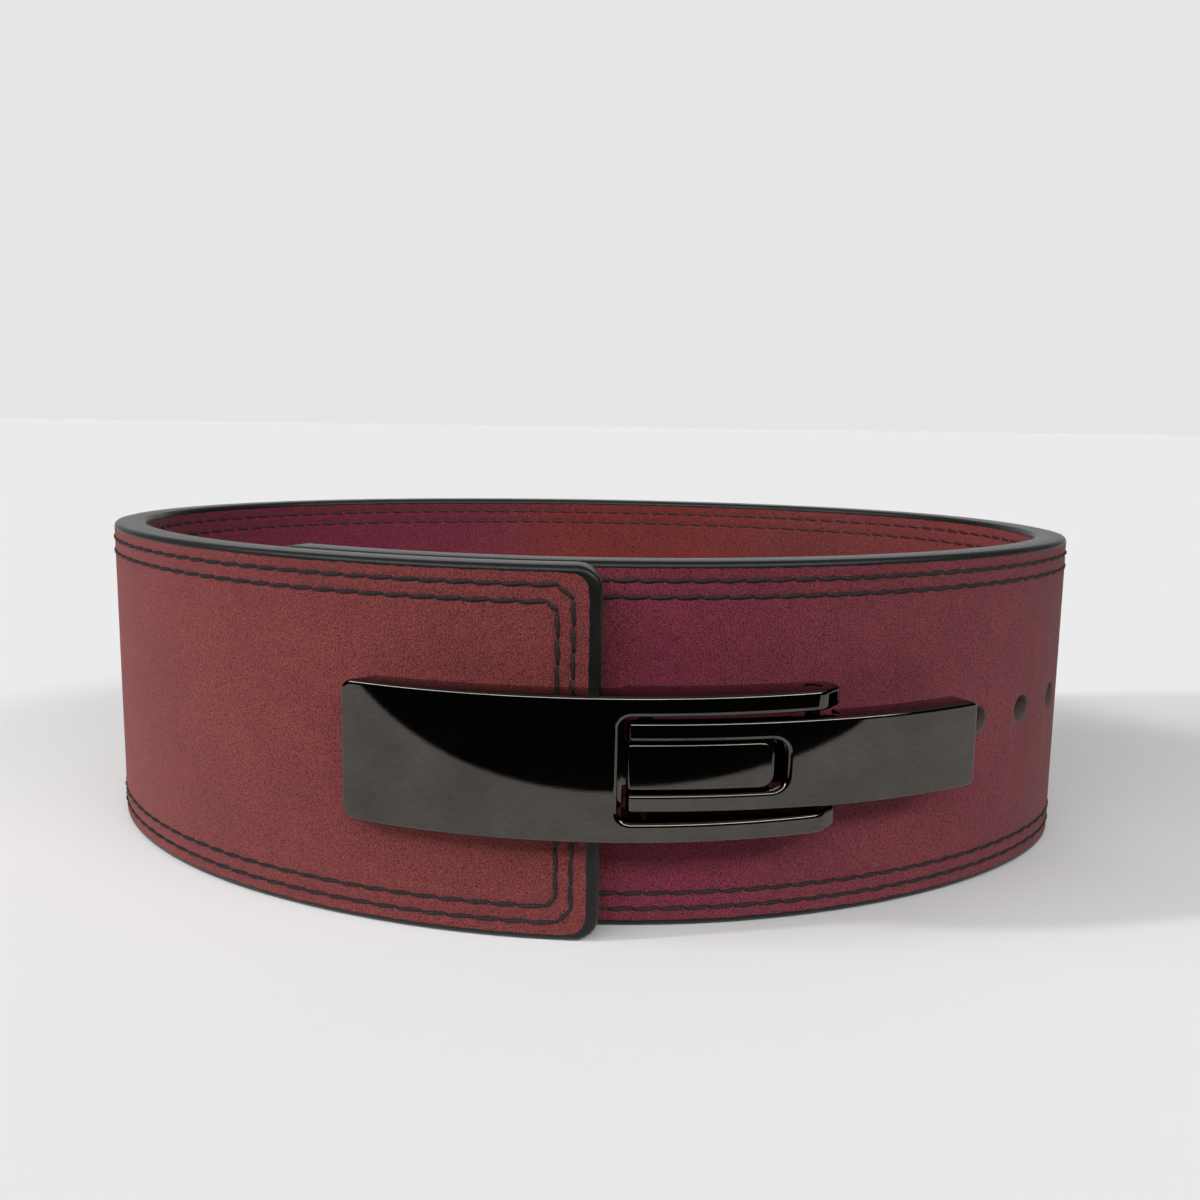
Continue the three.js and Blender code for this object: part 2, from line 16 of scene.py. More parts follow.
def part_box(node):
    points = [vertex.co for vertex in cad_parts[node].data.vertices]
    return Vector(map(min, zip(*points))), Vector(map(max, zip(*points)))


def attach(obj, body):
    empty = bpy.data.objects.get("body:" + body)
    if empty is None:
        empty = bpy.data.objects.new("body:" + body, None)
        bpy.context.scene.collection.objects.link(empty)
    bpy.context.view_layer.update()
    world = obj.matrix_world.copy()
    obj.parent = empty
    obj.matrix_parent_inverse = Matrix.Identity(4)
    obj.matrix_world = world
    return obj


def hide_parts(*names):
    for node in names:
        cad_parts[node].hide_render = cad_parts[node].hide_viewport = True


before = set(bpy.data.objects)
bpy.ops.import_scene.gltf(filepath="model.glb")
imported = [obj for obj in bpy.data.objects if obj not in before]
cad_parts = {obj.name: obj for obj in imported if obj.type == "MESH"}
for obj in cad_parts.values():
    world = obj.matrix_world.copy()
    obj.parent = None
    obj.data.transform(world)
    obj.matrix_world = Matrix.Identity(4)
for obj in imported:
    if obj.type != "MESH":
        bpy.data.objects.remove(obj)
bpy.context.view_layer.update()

print("pieces of the frame:", sorted(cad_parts))

# %% [markdown]
# Every size is named once, in metres. They are the same sizes as in the solids, so the fine pieces
# fall exactly where the plain ones are. Lengths run along the belt from its frontmost point,
# heights run up, and distances outwards start at the outer face of the strap's inner layer.

# %% Sizes of the belt
MM = 0.001
MEAN_RADIUS = 138 * MM
PLAN_LOBES = ((2, 0.177, -0.03), (3, -0.006, 0.011), (5, -0.004, -0.008))
BELT_HEIGHT = 100 * MM
LEATHER = 10 * MM
EDGE_ROUND = 1.5 * MM
END_CORNER_RADIUS = 6.5 * MM
LAYER_GAP = 0.4 * MM
OVERLAP = 102 * MM
FLAP_END = -2.8 * MM
LIFT_TURN = math.radians(56)
HOLE_DIAMETER = 8.4 * MM
HOLE_PITCH = 24 * MM
HOLE_COUNT = 12
FASTENED_HOLE = 6
SEAT_GAP = 0.3 * MM
PIN_GAP = 0.3 * MM
SIDE_GAP = 0.7 * MM

# %% Sizes of the buckle
LEVER_HEIGHT = 38 * MM
LEVER_DEPTH = 10.1 * MM
LEVER_BOW = 3 * MM
LEVER_PLATE = 2.6 * MM
LEVER_WALL = 2.8 * MM
LEVER_CORNER_RADIUS = 3.5 * MM
GRIP_LENGTH = 67.7 * MM
GRIP_UNDERCUT = 6 * MM
ARM_HEIGHT = 5.4 * MM
ARM_DROP = 2.9 * MM
ARM_DROP_START = 4.8 * MM
WINDOW_CORNER_RADIUS = 3 * MM
TIP_RADIUS = 6.8 * MM
TIP_TOP = 0.8 * MM
PIVOT_REACH = 52 * MM
PIVOT_RISE = 2 * MM
WINDOW_REACH = 48 * MM
HINGE_REACH = 41.6 * MM
LEVER_PIN_DIAMETER = 4 * MM
HOOK_PIN_DIAMETER = 3.4 * MM
PIN_RECESS = 0.3 * MM
HINGE_COVER = 1 * MM
HOOK_HEIGHT = 23.6 * MM
HOOK_DEPTH = 8.8 * MM
HOOK_PLATE = 2.4 * MM
HOOK_WALL = 2.6 * MM
HOOK_RISE = 8.2 * MM
HOOK_END_RISE = 17 * MM
HOOK_CORNER_RADIUS = 2 * MM
LEG_HEIGHT = 4.95 * MM
LEG_END_RADIUS = 1.2 * MM
SLOT_CORNER_RADIUS = 4 * MM
SLOT_BEFORE_PIVOT = 8.1 * MM
FALL_AFTER_PIVOT = 7.5 * MM
NOTCH_HALF = 6.5 * MM
NOTCH_CLEARANCE = 0.5 * MM
HOOK_END_MARGIN = 4.4 * MM
FIRST_PRONG_REACH = 59.9 * MM
PRONG_COUNT = 2
PRONG_ROOT_DIAMETER = 5.4 * MM
PRONG_TIP_DIAMETER = 4 * MM
PRONG_BITE = 5.5 * MM
PRONG_BOSS_DIAMETER = 8 * MM
BASE_PLATE = 2.5 * MM
FOOT_HEIGHT = 26.2 * MM
FOOT_OVERHANG = 5.4 * MM
FOOT_GRIP_GAP = 4 * MM
FOOT_CORNER_RADIUS = 3 * MM
PAD_BELOW_HOOK = 0.8 * MM
PAD_END_GAP = 2.9 * MM
PAD_CORNER_RADIUS = 2.5 * MM
BARREL_RADIUS = 3.4 * MM
SCREW_INSET = 7 * MM
SCREW_FROM_END = 9.5 * MM
SCREW_BOSS_DIAMETER = 9 * MM
SCREW_BOSS_RISE = 1.8 * MM
SCREW_DIAMETER = 5 * MM

# %% Places worked out from the sizes
MIDDLE = BELT_HEIGHT / 2
PERIMETER = 2 * math.pi * MEAN_RADIUS
FRONT = -math.pi / 2
STRAP_TIP = -OVERLAP
STRAP_END = PERIMETER + FLAP_END
FLAP_OUT = LAYER_GAP + LEATHER
SEAT = FLAP_OUT + SEAT_GAP
PIVOT = (FLAP_END + PIVOT_REACH, FLAP_OUT + PIVOT_RISE)
HOOK_TOP = FLAP_OUT + HOOK_RISE
HINGE = (PIVOT[0] - HINGE_REACH, HOOK_TOP - HOOK_DEPTH / 2)
LEG_END = HINGE[0] - HOOK_DEPTH / 2
SLOT_END = PIVOT[0] - SLOT_BEFORE_PIVOT
FIRST_PRONG = HINGE[0] + FIRST_PRONG_REACH
HOOK_END = FIRST_PRONG + (PRONG_COUNT - 1) * HOLE_PITCH + HOOK_END_MARGIN
FALL_START = PIVOT[0] + FALL_AFTER_PIVOT
WINDOW_EDGE = PIVOT[0] - WINDOW_REACH
GRIP_END = WINDOW_EDGE - GRIP_LENGTH
FOOT_LEFT = GRIP_END + GRIP_UNDERCUT + LEVER_WALL + FOOT_GRIP_GAP
FOOT_RIGHT = FLAP_END + FOOT_OVERHANG
SCREW_PLACES = (FOOT_LEFT + SCREW_INSET, FLAP_END - SCREW_FROM_END)
TONGUE_HEIGHT = HOOK_HEIGHT - 2 * LEG_HEIGHT - 2 * SIDE_GAP
print("grip from", round(GRIP_END / MM, 1), "hook to", round(HOOK_END / MM, 1), "mm")

# %% [markdown]
# Seen from above, the belt is an oval. Its rule gives, for each direction that the leather faces,
# how far its tangent line lies from the middle. That rule has two gifts: a layer further out is
# the same rule with a larger distance, and the length along the belt has a plain formula.

# %% The plan
def support(angle):
    distance = np.ones_like(angle)
    slope = np.zeros_like(angle)
    for lobes, across, along in PLAN_LOBES:
        distance = distance + across * np.cos(lobes * angle) + along * np.sin(lobes * angle)
        slope = slope + lobes * (along * np.cos(lobes * angle) - across * np.sin(lobes * angle))
    return MEAN_RADIUS * distance, MEAN_RADIUS * slope


def turned_length(angle):
    length = angle
    for lobes, across, along in PLAN_LOBES:
        share = (1 - lobes * lobes) / lobes
        length = length + share * (across * np.sin(lobes * angle) - along * np.cos(lobes * angle))
    return MEAN_RADIUS * length


PLAN_ANGLES = np.linspace(FRONT - math.pi, FRONT + 3 * math.pi, 60001)
PLAN_LENGTHS = turned_length(PLAN_ANGLES) - turned_length(FRONT)


def angle_at(along):
    return np.interp(along, PLAN_LENGTHS, PLAN_ANGLES)


def plan_point(along, out):
    angle = angle_at(np.asarray(along, float))
    distance, slope = support(angle)
    reach = distance + out
    x = reach * np.cos(angle) - slope * np.sin(angle)
    y = reach * np.sin(angle) + slope * np.cos(angle)
    return np.stack([x, y], axis=-1)


# %% The plan's place in the frame
pin_low, pin_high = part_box("lever_pin")
PLAN_SHIFT = np.array([(pin_low.x + pin_high.x) / 2, (pin_low.y + pin_high.y) / 2]) - plan_point(*PIVOT)
print("the plan's middle lies at", np.round(PLAN_SHIFT / MM, 2), "mm")


def bent(points):
    """Flat points (along, up, out) moved to their place round the belt."""
    points = np.asarray(points, float)
    place = plan_point(points[:, 0], points[:, 2]) + PLAN_SHIFT
    return np.column_stack([place, points[:, 1]])


# %% The outer end's climb
LIFT_END = float(angle_at(PERIMETER - OVERLAP))


def climb(along):
    share = np.clip((angle_at(along) - LIFT_END + LIFT_TURN) / LIFT_TURN, 0, 1)
    return FLAP_OUT * share * share * (3 - 2 * share)


# %% [markdown]
# Most pieces are blocks with rounded edges. A block is drawn flat as an outline whose corners have
# their own radii. Rings of the same outline, each a little further in and up, make the rounded
# edge. A bevel modifier would do it too, but it also rounds corners that have to stay sharp. With
# rings the polished faces stay flat and only their rims turn. The block is then sliced across and
# bent round the belt, like a bar in a bending jig.

# %% Outlines with rounded corners
ARC_STEPS = 6
SMALLEST_BEND = 0.02 * MM


def outline(corners, inset):
    """Points of a polygon with rounded corners, moved inwards; corners are (x, y, radius)."""
    places = [Vector(corner[:2]) for corner in corners]
    points = []
    for index, (x, y, radius) in enumerate(corners):
        before = (places[index] - places[index - 1]).normalized()
        after = (places[(index + 1) % len(places)] - places[index]).normalized()
        left_before = Vector((-before.y, before.x))
        left_after = Vector((-after.y, after.x))
        turn = math.atan2(before.x * after.y - before.y * after.x, before.dot(after))
        corner = places[index] + (left_before + left_after) * (inset / (1 + left_before.dot(left_after)))
        side = 1 if turn > 0 else -1
        bend = max(radius - side * inset, SMALLEST_BEND)
        start = corner - before * bend * math.tan(abs(turn) / 2)
        centre = start + left_before * side * bend
        for step in range(ARC_STEPS + 1):
            spin = turn * step / ARC_STEPS
            arm = start - centre
            points.append(centre + Matrix.Rotation(spin, 2) @ arm)
    return [(point.x, point.y) for point in points]


def rectangle(left, right, low, high, left_radius, right_radius):
    return [
        (left, low, left_radius),
        (right, low, right_radius),
        (right, high, right_radius),
        (left, high, left_radius),
    ]


# %% Rounded blocks
ROUND_STEPS = 4
RIM_FLAT = 0.12 * MM  # width of the flat ring that keeps a face's shading flat up to its rim


def block(name, corners, depth, round_top, round_low, extra_rings=()):
    """A flat block as a mesh object. Its vertices are (along, up, level)."""
    rings = []
    for step in range(ROUND_STEPS + 1):
        turn = (math.pi / 2) * step / ROUND_STEPS
        rings.append((round_low * (1 - math.sin(turn)), round_low * (1 - math.cos(turn))))
    rings.insert(0, (round_low + RIM_FLAT, 0))
    for step in range(ROUND_STEPS + 1):
        turn = (math.pi / 2) * step / ROUND_STEPS
        rings.append((round_top * (1 - math.cos(turn)), depth - round_top * (1 - math.sin(turn))))
    rings.append((round_top + RIM_FLAT, depth))
    drawn = [(outline(corners, inset), level) for inset, level in rings]
    drawn = [(outline(other, 0), -drop) for other, drop in reversed(extra_rings)] + drawn
    drawn = drawn + [(outline(other, 0), depth + drop) for other, drop in extra_rings]
    mesh = bmesh.new()
    loops = []
    for points, level in drawn:
        loops.append([mesh.verts.new((x, y, level)) for x, y in points])
    count = len(loops[0])
    for low, high in zip(loops, loops[1:]):
        for k in range(count):
            mesh.faces.new((low[k], low[(k + 1) % count], high[(k + 1) % count], high[k]))
    mesh.faces.new(list(reversed(loops[0])))
    mesh.faces.new(loops[-1])
    return object_of(name, mesh)


def object_of(name, mesh):
    data = bpy.data.meshes.new(name)
    mesh.to_mesh(data)
    mesh.free()
    made = bpy.data.objects.new(name, data)
    bpy.context.scene.collection.objects.link(made)
    return made


# %% Cutters and cutting
def box_cutter(low, high):
    mesh = bmesh.new()
    bmesh.ops.create_cube(mesh, size=1)
    size = Vector(high) - Vector(low)
    middle = (Vector(high) + Vector(low)) / 2
    for vertex in mesh.verts:
        vertex.co = Vector(a * b for a, b in zip(vertex.co, size)) + middle
    return object_of("cutter", mesh)


def lathe(name, profile, sides):
    """A closed turned shape about Z; profile is (radius, height) from the low end to the high one."""
    mesh = bmesh.new()
    loops = []
    for radius, height in profile:
        turns = [2 * math.pi * k / sides for k in range(sides)]
        loops.append([mesh.verts.new((radius * math.cos(t), radius * math.sin(t), height)) for t in turns])
    for low, high in zip(loops, loops[1:]):
        for k in range(sides):
            mesh.faces.new((low[k], low[(k + 1) % sides], high[(k + 1) % sides], high[k]))
    mesh.faces.new(list(reversed(loops[0])))
    mesh.faces.new(loops[-1])
    return object_of(name, mesh)


def combine(target, tools, operation):
    """Cuts the tools from the target, or joins them to it, and removes them."""
    for tool in tools:
        change = target.modifiers.new("change", "BOOLEAN")
        change.operation = operation
        change.solver = "EXACT"
        change.object = tool
        evaluated = target.evaluated_get(bpy.context.evaluated_depsgraph_get())
        result = bpy.data.meshes.new_from_object(evaluated)
        target.modifiers.clear()
        target.data = result
        bpy.data.objects.remove(tool)
    return target


# %% Slicing and bending
SLICE_TOLERANCE = 1e-7


def slice_across(piece, lines):
    mesh = bmesh.new()
    mesh.from_mesh(piece.data)
    for line in lines:
        near = [
            face for face in mesh.faces
            if min(v.co.x for v in face.verts) < line < max(v.co.x for v in face.verts)
        ]
        edges = {edge for face in near for edge in face.edges}
        verts = {vert for face in near for vert in face.verts}
        bmesh.ops.bisect_plane(
            mesh,
            geom=[*verts, *edges, *near],
            dist=SLICE_TOLERANCE,
            plane_co=(line, 0, 0),
            plane_no=(1, 0, 0),
        )
    mesh.to_mesh(piece.data)
    mesh.free()


def flat_points(piece):
    points = np.zeros(len(piece.data.vertices) * 3)
    piece.data.vertices.foreach_get("co", points)
    return points.reshape(-1, 3)


def set_points(piece, points):
    piece.data.vertices.foreach_set("co", np.asarray(points, float).ravel())
    piece.data.update()


SHARP_ANGLE = math.radians(32)
MERGE_DISTANCE = 1e-6


def smooth(piece):
    mesh = bmesh.new()
    mesh.from_mesh(piece.data)
    bmesh.ops.remove_doubles(mesh, verts=mesh.verts, dist=MERGE_DISTANCE)
    bmesh.ops.recalc_face_normals(mesh, faces=mesh.faces)
    mesh.to_mesh(piece.data)
    mesh.free()
    piece.data.polygons.foreach_set("use_smooth", [True] * len(piece.data.polygons))
    piece.data.set_sharp_from_angle(angle=SHARP_ANGLE)


def rod_cutter(place, radius, low, high, sides=40):
    """An upright round bar at a place on the bent belt."""
    bar = lathe("cutter", [(radius, low), (radius, high)], sides)
    x, y = plan_point(*place) + PLAN_SHIFT
    bar.data.transform(Matrix.Translation((x, y, 0)))
    return bar


# %% [markdown]
# The strap is one block, nearly a metre long. Two shallow grooves follow its rim, where the
# stitches pull the leather in. A bump in the finish could draw them, but they would be lost in a
# plain model, so they come from more rings of the outline. The holes are punched with a flared
# cutter, because a punch leaves a soft lip in leather.

# %% The strap
STITCH_ROWS = (  # distance from the long edges, distance from the ends, cut of the corners
    (5.0 * MM, 7.0 * MM, 3.6 * MM),
    (9.4 * MM, 10.8 * MM, 2.4 * MM),
)
GROOVE_STEP = 0.8 * MM
GROOVE_DEPTH = 0.22 * MM
GROOVE_PROFILE = ((-2, 0), (-1, 0.4), (0, 1), (1, 0.4), (2, 0))  # steps aside, share of the depth


def strap_outline(inset, end_inset, radius):
    return rectangle(
        STRAP_TIP + end_inset, STRAP_END - end_inset, inset, BELT_HEIGHT - inset, radius, radius
    )


groove_rings = []
for inset, end_inset, cut in STITCH_ROWS:
    for steps, share in GROOVE_PROFILE:
        aside = steps * GROOVE_STEP
        ring = strap_outline(inset + aside, end_inset + aside, 1.5 * cut - aside)
        groove_rings.append((ring, -share * GROOVE_DEPTH))
strap = block(
    "strap_fine", strap_outline(0, 0, END_CORNER_RADIUS), LEATHER, EDGE_ROUND, EDGE_ROUND, groove_rings
)
LIP = 0.55 * MM
PUNCH_SIDES = 32


def punch(along):
    radius = HOLE_DIAMETER / 2
    turns = np.linspace(0, math.pi / 2, 5)
    lip = [(radius + LIP * (1 - math.sin(t)), LIP * (1 - math.cos(t))) for t in turns]
    low = [(radius + LIP, -LEATHER)] + lip
    high = [(r, LEATHER - h) for r, h in reversed(lip)] + [(radius + LIP, 2 * LEATHER)]
    tool = lathe("punch", low + high, PUNCH_SIDES)
    tool.data.transform(Matrix.Translation((along, MIDDLE, 0)))
    return tool


hole_places = [FIRST_PRONG + (i - FASTENED_HOLE) * HOLE_PITCH for i in range(HOLE_COUNT)]
combine(strap, [punch(along) for along in hole_places], "DIFFERENCE")
print("strap:", len(strap.data.polygons), "faces before slicing")

# %% [markdown]
# Bending needs a slice wherever the oval turns by a degree or so. Before the strap is bent, each
# point keeps three numbers: how far in it lies from the rim, how far along the belt, and whether
# it is on a hole's wall. The paint follows the leather, and so do the zones along the belt that
# paint shade into its colour, so the finish reads them.

# %% Slices and the strap's attributes
SLICE_TURN = math.radians(1.5)
END_PAINT = 1.4 * MM


def bend_lines(start, end, turn=SLICE_TURN):
    first = math.ceil(float(angle_at(start)) / turn)
    last = math.floor(float(angle_at(end)) / turn)
    lines = [turned_length(step * turn) - turned_length(FRONT) for step in range(first, last + 1)]
    return [line for line in lines if start + 0.2 * MM < line < end - 0.2 * MM]


def inset_of(along, up):
    """How far a point of the strap lies inside its outline, less at the ends, where more is painted."""
    half = np.array([(STRAP_END - STRAP_TIP) / 2 - END_PAINT, BELT_HEIGHT / 2])
    middle = np.array([(STRAP_END + STRAP_TIP) / 2, BELT_HEIGHT / 2])
    apart = np.abs(np.stack([along, up], axis=-1) - middle) - half + END_CORNER_RADIUS
    outside = np.linalg.norm(np.maximum(apart, 0), axis=-1)
    inside = np.minimum(apart.max(axis=-1), 0)
    return END_CORNER_RADIUS - outside - inside


slice_across(strap, bend_lines(STRAP_TIP, STRAP_END))
strap_flat = flat_points(strap)
rim = inset_of(strap_flat[:, 0], strap_flat[:, 1])
strap_flat[:, 2] += climb(strap_flat[:, 0]) - LEATHER
set_points(strap, bent(strap_flat))
rim_attribute = strap.data.attributes.new("rim", "FLOAT", "POINT")
rim_attribute.data.foreach_set("value", rim.astype(np.float32))
along_attribute = strap.data.attributes.new("along", "FLOAT", "POINT")
along_attribute.data.foreach_set("value", strap_flat[:, 0].astype(np.float32))
above_middle = strap_flat[:, 1] - MIDDLE
from_holes = np.min([np.hypot(strap_flat[:, 0] - place, above_middle) for place in hole_places], axis=0)
on_bore = from_holes < HOLE_DIAMETER / 2 + 0.3 * LIP
bore_attribute = strap.data.attributes.new("bore", "FLOAT", "POINT")
bore_attribute.data.foreach_set("value", on_bore.astype(np.float32))
smooth(strap)
print("strap:", len(strap.data.polygons), "faces")

# %% [markdown]
# A machine sews two rows of lock stitches right round the strap, and the thread shows on both
# faces. Each long side takes a whole number of stitches and each corner is crossed by one slanted
# stitch. The thread could be one long sweep, but a real seam is a row of short humps. So a seam is
# first only points, one in the middle of each stitch, that know their directions.

# %% Stitch places
STITCH_PITCH = 7.0 * MM


def seam_path(name, out):
    """Both rows of a face as one object of points, with each stitch's directions and length."""
    points, outwards, lengthways, lengths = [], [], [], []
    side = 1 if out >= 0 else -1
    for inset, end_inset, cut in STITCH_ROWS:
        left, right = STRAP_TIP + end_inset, STRAP_END - end_inset
        low, high = inset, BELT_HEIGHT - inset
        corners = [
            (left + cut, low), (right - cut, low), (right, low + cut), (right, high - cut),
            (right - cut, high), (left + cut, high), (left, high - cut), (left, low + cut),
        ]
        for first, last in zip(corners, corners[1:] + corners[:1]):
            count = max(1, round(math.dist(first, last) / STITCH_PITCH))
            holes = np.linspace(first, last, count + 1)
            flat = np.column_stack([holes, out + climb(holes[:, 0])])
            places = bent(flat)
            above = bent(flat + np.array([0, 0, MM]))
            steps = places[1:] - places[:-1]
            points += list((places[1:] + places[:-1]) / 2)
            outwards += list((above - places)[1:] * side / MM)
            lengthways += list(steps)
            lengths += list(np.linalg.norm(steps, axis=1) / STITCH_PITCH)
    data = bpy.data.meshes.new(name)
    data.from_pydata([tuple(point) for point in points], [], [])
    for key, vectors in (("outwards", outwards), ("lengthways", lengthways)):
        made = data.attributes.new(key, "FLOAT_VECTOR", "POINT")
        made.data.foreach_set("vector", np.array(vectors, np.float32).ravel())
    length_attribute = data.attributes.new("length", "FLOAT", "POINT")
    length_attribute.data.foreach_set("value", np.array(lengths, np.float32))
    made = bpy.data.objects.new(name, data)
    bpy.context.scene.collection.objects.link(made)
    return made


STITCH_SIDES = 8
STITCH_RINGS = 8
STRAND_SWELL = 0.16
STRAND_TWIST = 2.4 * math.pi


def one_stitch(name, length, radius):
    """A bit of twisted thread along X that dives into the leather at both ends."""
    sides, rings = STITCH_SIDES, STITCH_RINGS
    mesh = bmesh.new()
    loops = []
    for k in range(rings):
        share = -1 + 2 * k / (rings - 1)
        loop = []
        for j in range(sides):
            turn = 2 * math.pi * j / sides
            twist = 1 + STRAND_SWELL * math.cos(2 * turn - STRAND_TWIST * share)
            fat = radius * (1 - 0.5 * abs(share) ** 3) * twist
            loop.append(mesh.verts.new((
                share * length / 2,
                fat * math.cos(turn),
                0.8 * fat * math.sin(turn) - 0.5 * radius * share ** 4,
            )))
        loops.append(loop)
    for low, high in zip(loops, loops[1:]):
        for j in range(sides):
            mesh.faces.new((low[j], high[j], high[(j + 1) % sides], low[(j + 1) % sides]))
    mesh.faces.new(loops[0])
    mesh.faces.new(list(reversed(loops[-1])))
    made = object_of(name, mesh)
    made.data.polygons.foreach_set("use_smooth", [True] * len(made.data.polygons))
    return made


# %% [markdown]
# Some six hundred stitches on each face are the same little shape, so a node tree puts one on every
# point and turns it along the seam. Its slant is an input, because the two faces lean in opposite
# ways, as the needle's thread and the bobbin's thread do.

# %% The stitching tree
def stitching_tree(material):
    tree = bpy.data.node_groups.new("stitching", "GeometryNodeTree")
    faces = tree.interface
    faces.new_socket("Places", in_out="INPUT", socket_type="NodeSocketGeometry")
    stitch_socket = faces.new_socket("Stitch", in_out="INPUT", socket_type="NodeSocketObject")
    slant_socket = faces.new_socket("Slant", in_out="INPUT", socket_type="NodeSocketFloat")
    faces.new_socket("Seam", in_out="OUTPUT", socket_type="NodeSocketGeometry")

    def node(kind, settings=None, values=None):
        made = tree.nodes.new(kind)
        for key, value in (settings or {}).items():
            setattr(made, key, value)
        for key, value in (values or {}).items():
            if isinstance(value, bpy.types.NodeSocket):
                tree.links.new(value, made.inputs[key])
            else:
                made.inputs[key].default_value = value
        return made

    def attribute(kind, name):
        return node("GeometryNodeInputNamedAttribute", {"data_type": kind}, {"Name": name}).outputs[0]

    given = node("NodeGroupInput")
    along = node(
        "FunctionNodeAlignEulerToVector", {"axis": "X"}, {"Vector": attribute("FLOAT_VECTOR", "lengthways")}
    )
    facing = node(
        "FunctionNodeAlignEulerToVector",
        {"axis": "Z", "pivot_axis": "X"},
        {"Rotation": along.outputs[0], "Vector": attribute("FLOAT_VECTOR", "outwards")},
    )
    slant = node("ShaderNodeCombineXYZ", None, {"Z": given.outputs["Slant"]})
    turned = node(
        "FunctionNodeRotateEuler",
        {"space": "LOCAL"},
        {"Rotation": facing.outputs[0], "Rotate By": slant.outputs[0]},
    )
    size = node("ShaderNodeCombineXYZ", None, {"X": attribute("FLOAT", "length"), "Y": 1.0, "Z": 1.0})
    stitch = node("GeometryNodeObjectInfo", None, {"Object": given.outputs["Stitch"]})
    placed = node(
        "GeometryNodeInstanceOnPoints",
        None,
        {
            "Points": given.outputs["Places"],
            "Instance": stitch.outputs["Geometry"],
            "Rotation": turned.outputs[0],
            "Scale": size.outputs[0],
        },
    )
    real = node("GeometryNodeRealizeInstances", None, {"Geometry": placed.outputs[0]})
    painted = node("GeometryNodeSetMaterial", None, {"Geometry": real.outputs[0], "Material": material})
    done = node("NodeGroupOutput")
    tree.links.new(painted.outputs[0], done.inputs[0])
    return tree, (stitch_socket.identifier, slant_socket.identifier)


# %% [markdown]
# The lever is a hollow bar with a long open window. It could be joined from a grip and two arms,
# but the joints would show in the polish. So its outline is one polygon, shaped like a tuning
# fork: a grip on the left and two arms on the right. The outer face is bowed, so the grip has a
# soft shine that changes along it, and the arms end in slanted, rounded tips.

# %% Shaping a block in depth
def shaped(piece, depth, top, low, round_size):
    """Moves levels to the real top and low faces, which follow their own rules along the belt."""
    points = flat_points(piece)
    along, level = points[:, 0], points[:, 2]
    high_face, low_face = top(along), low(along)
    room = np.clip((high_face - low_face) / (2 * round_size + 0.2 * MM), 0.02, 1)
    upper = level > depth / 2
    points[:, 2] = np.where(upper, high_face - (depth - level) * room, low_face + level * room)
    return points


def fine_lines(start, end, step):
    count = max(2, round((end - start) / step))
    return list(np.linspace(start, end, count + 1)[1:-1])


def eased_corner(value, limit, ease):
    """The smaller of two numbers, with a soft change from one to the other."""
    gap = np.clip((limit - value) / ease, -1, 1)
    return np.minimum(value, limit) - ease / 4 * (1 - np.abs(gap)) ** 2


# %% The lever's faces
LEVER_TIP = PIVOT[0] + TIP_RADIUS
LEVER_EASE = 0.9 * MM
TIP_RISE = 1.2 * MM


def lever_bow(along):
    middle = (GRIP_END + LEVER_TIP) / 2
    share = (along - middle) / ((LEVER_TIP - GRIP_END) / 2)
    return SEAT + LEVER_DEPTH - LEVER_BOW * share ** 2


def lever_top(along):
    start = PIVOT[0] + TIP_TOP
    share = (along - start) / (LEVER_TIP - start)
    slope = lever_bow(start) + (PIVOT[1] + TIP_RISE - lever_bow(start)) * share
    return eased_corner(lever_bow(along), slope, LEVER_EASE)


def lever_low(along):
    foot = FLAP_OUT - ARM_DROP
    start = FLAP_END + ARM_DROP_START
    share = np.clip((along - start) / MM, 0, 1)
    level = SEAT + (foot - SEAT) * share * share * (3 - 2 * share)
    reach = np.clip((along - PIVOT[0]) / TIP_RADIUS, 0, 1)
    circle = PIVOT[1] - TIP_RADIUS * np.sqrt(1 - reach ** 2)
    return np.where(along > PIVOT[0], np.maximum(level, circle), level)


# %% The lever
LEVER_ROUND = 1.1 * MM
LOW_ROUND_SHARE = 0.6  # the hidden lower edges are rounded less
ARM_CORNER = 1.0 * MM
UNDERCUT_REACH = 16 * MM
UNDERCUT_CURVE = 1.3
lever_side = LEVER_HEIGHT / 2
arm_inside = lever_side - ARM_HEIGHT
lever_corners = [
    (GRIP_END, MIDDLE - lever_side, LEVER_CORNER_RADIUS),
    (LEVER_TIP, MIDDLE - lever_side, ARM_CORNER),
    (LEVER_TIP, MIDDLE - arm_inside, ARM_CORNER),
    (WINDOW_EDGE, MIDDLE - arm_inside, WINDOW_CORNER_RADIUS),
    (WINDOW_EDGE, MIDDLE + arm_inside, WINDOW_CORNER_RADIUS),
    (LEVER_TIP, MIDDLE + arm_inside, ARM_CORNER),
    (LEVER_TIP, MIDDLE + lever_side, ARM_CORNER),
    (GRIP_END, MIDDLE + lever_side, LEVER_CORNER_RADIUS),
]
lever = block("lever_fine", lever_corners, LEVER_DEPTH, LEVER_ROUND, LEVER_ROUND * LOW_ROUND_SHARE)
lever_hollow = box_cutter(
    (GRIP_END + GRIP_UNDERCUT + LEVER_WALL, MIDDLE - lever_side + LEVER_WALL, -MM),
    (WINDOW_EDGE + MM, MIDDLE + lever_side - LEVER_WALL, LEVER_DEPTH - LEVER_PLATE),
)
combine(lever, [lever_hollow], "DIFFERENCE")
lever_lines = fine_lines(GRIP_END, PIVOT[0], 1.6 * MM) + fine_lines(PIVOT[0], LEVER_TIP, 0.4 * MM)
slice_across(lever, lever_lines)
lever_flat = shaped(lever, LEVER_DEPTH, lever_top, lever_low, LEVER_ROUND)
reach_in = np.clip(1 - (lever_flat[:, 0] - GRIP_END) / UNDERCUT_REACH, 0, 1)
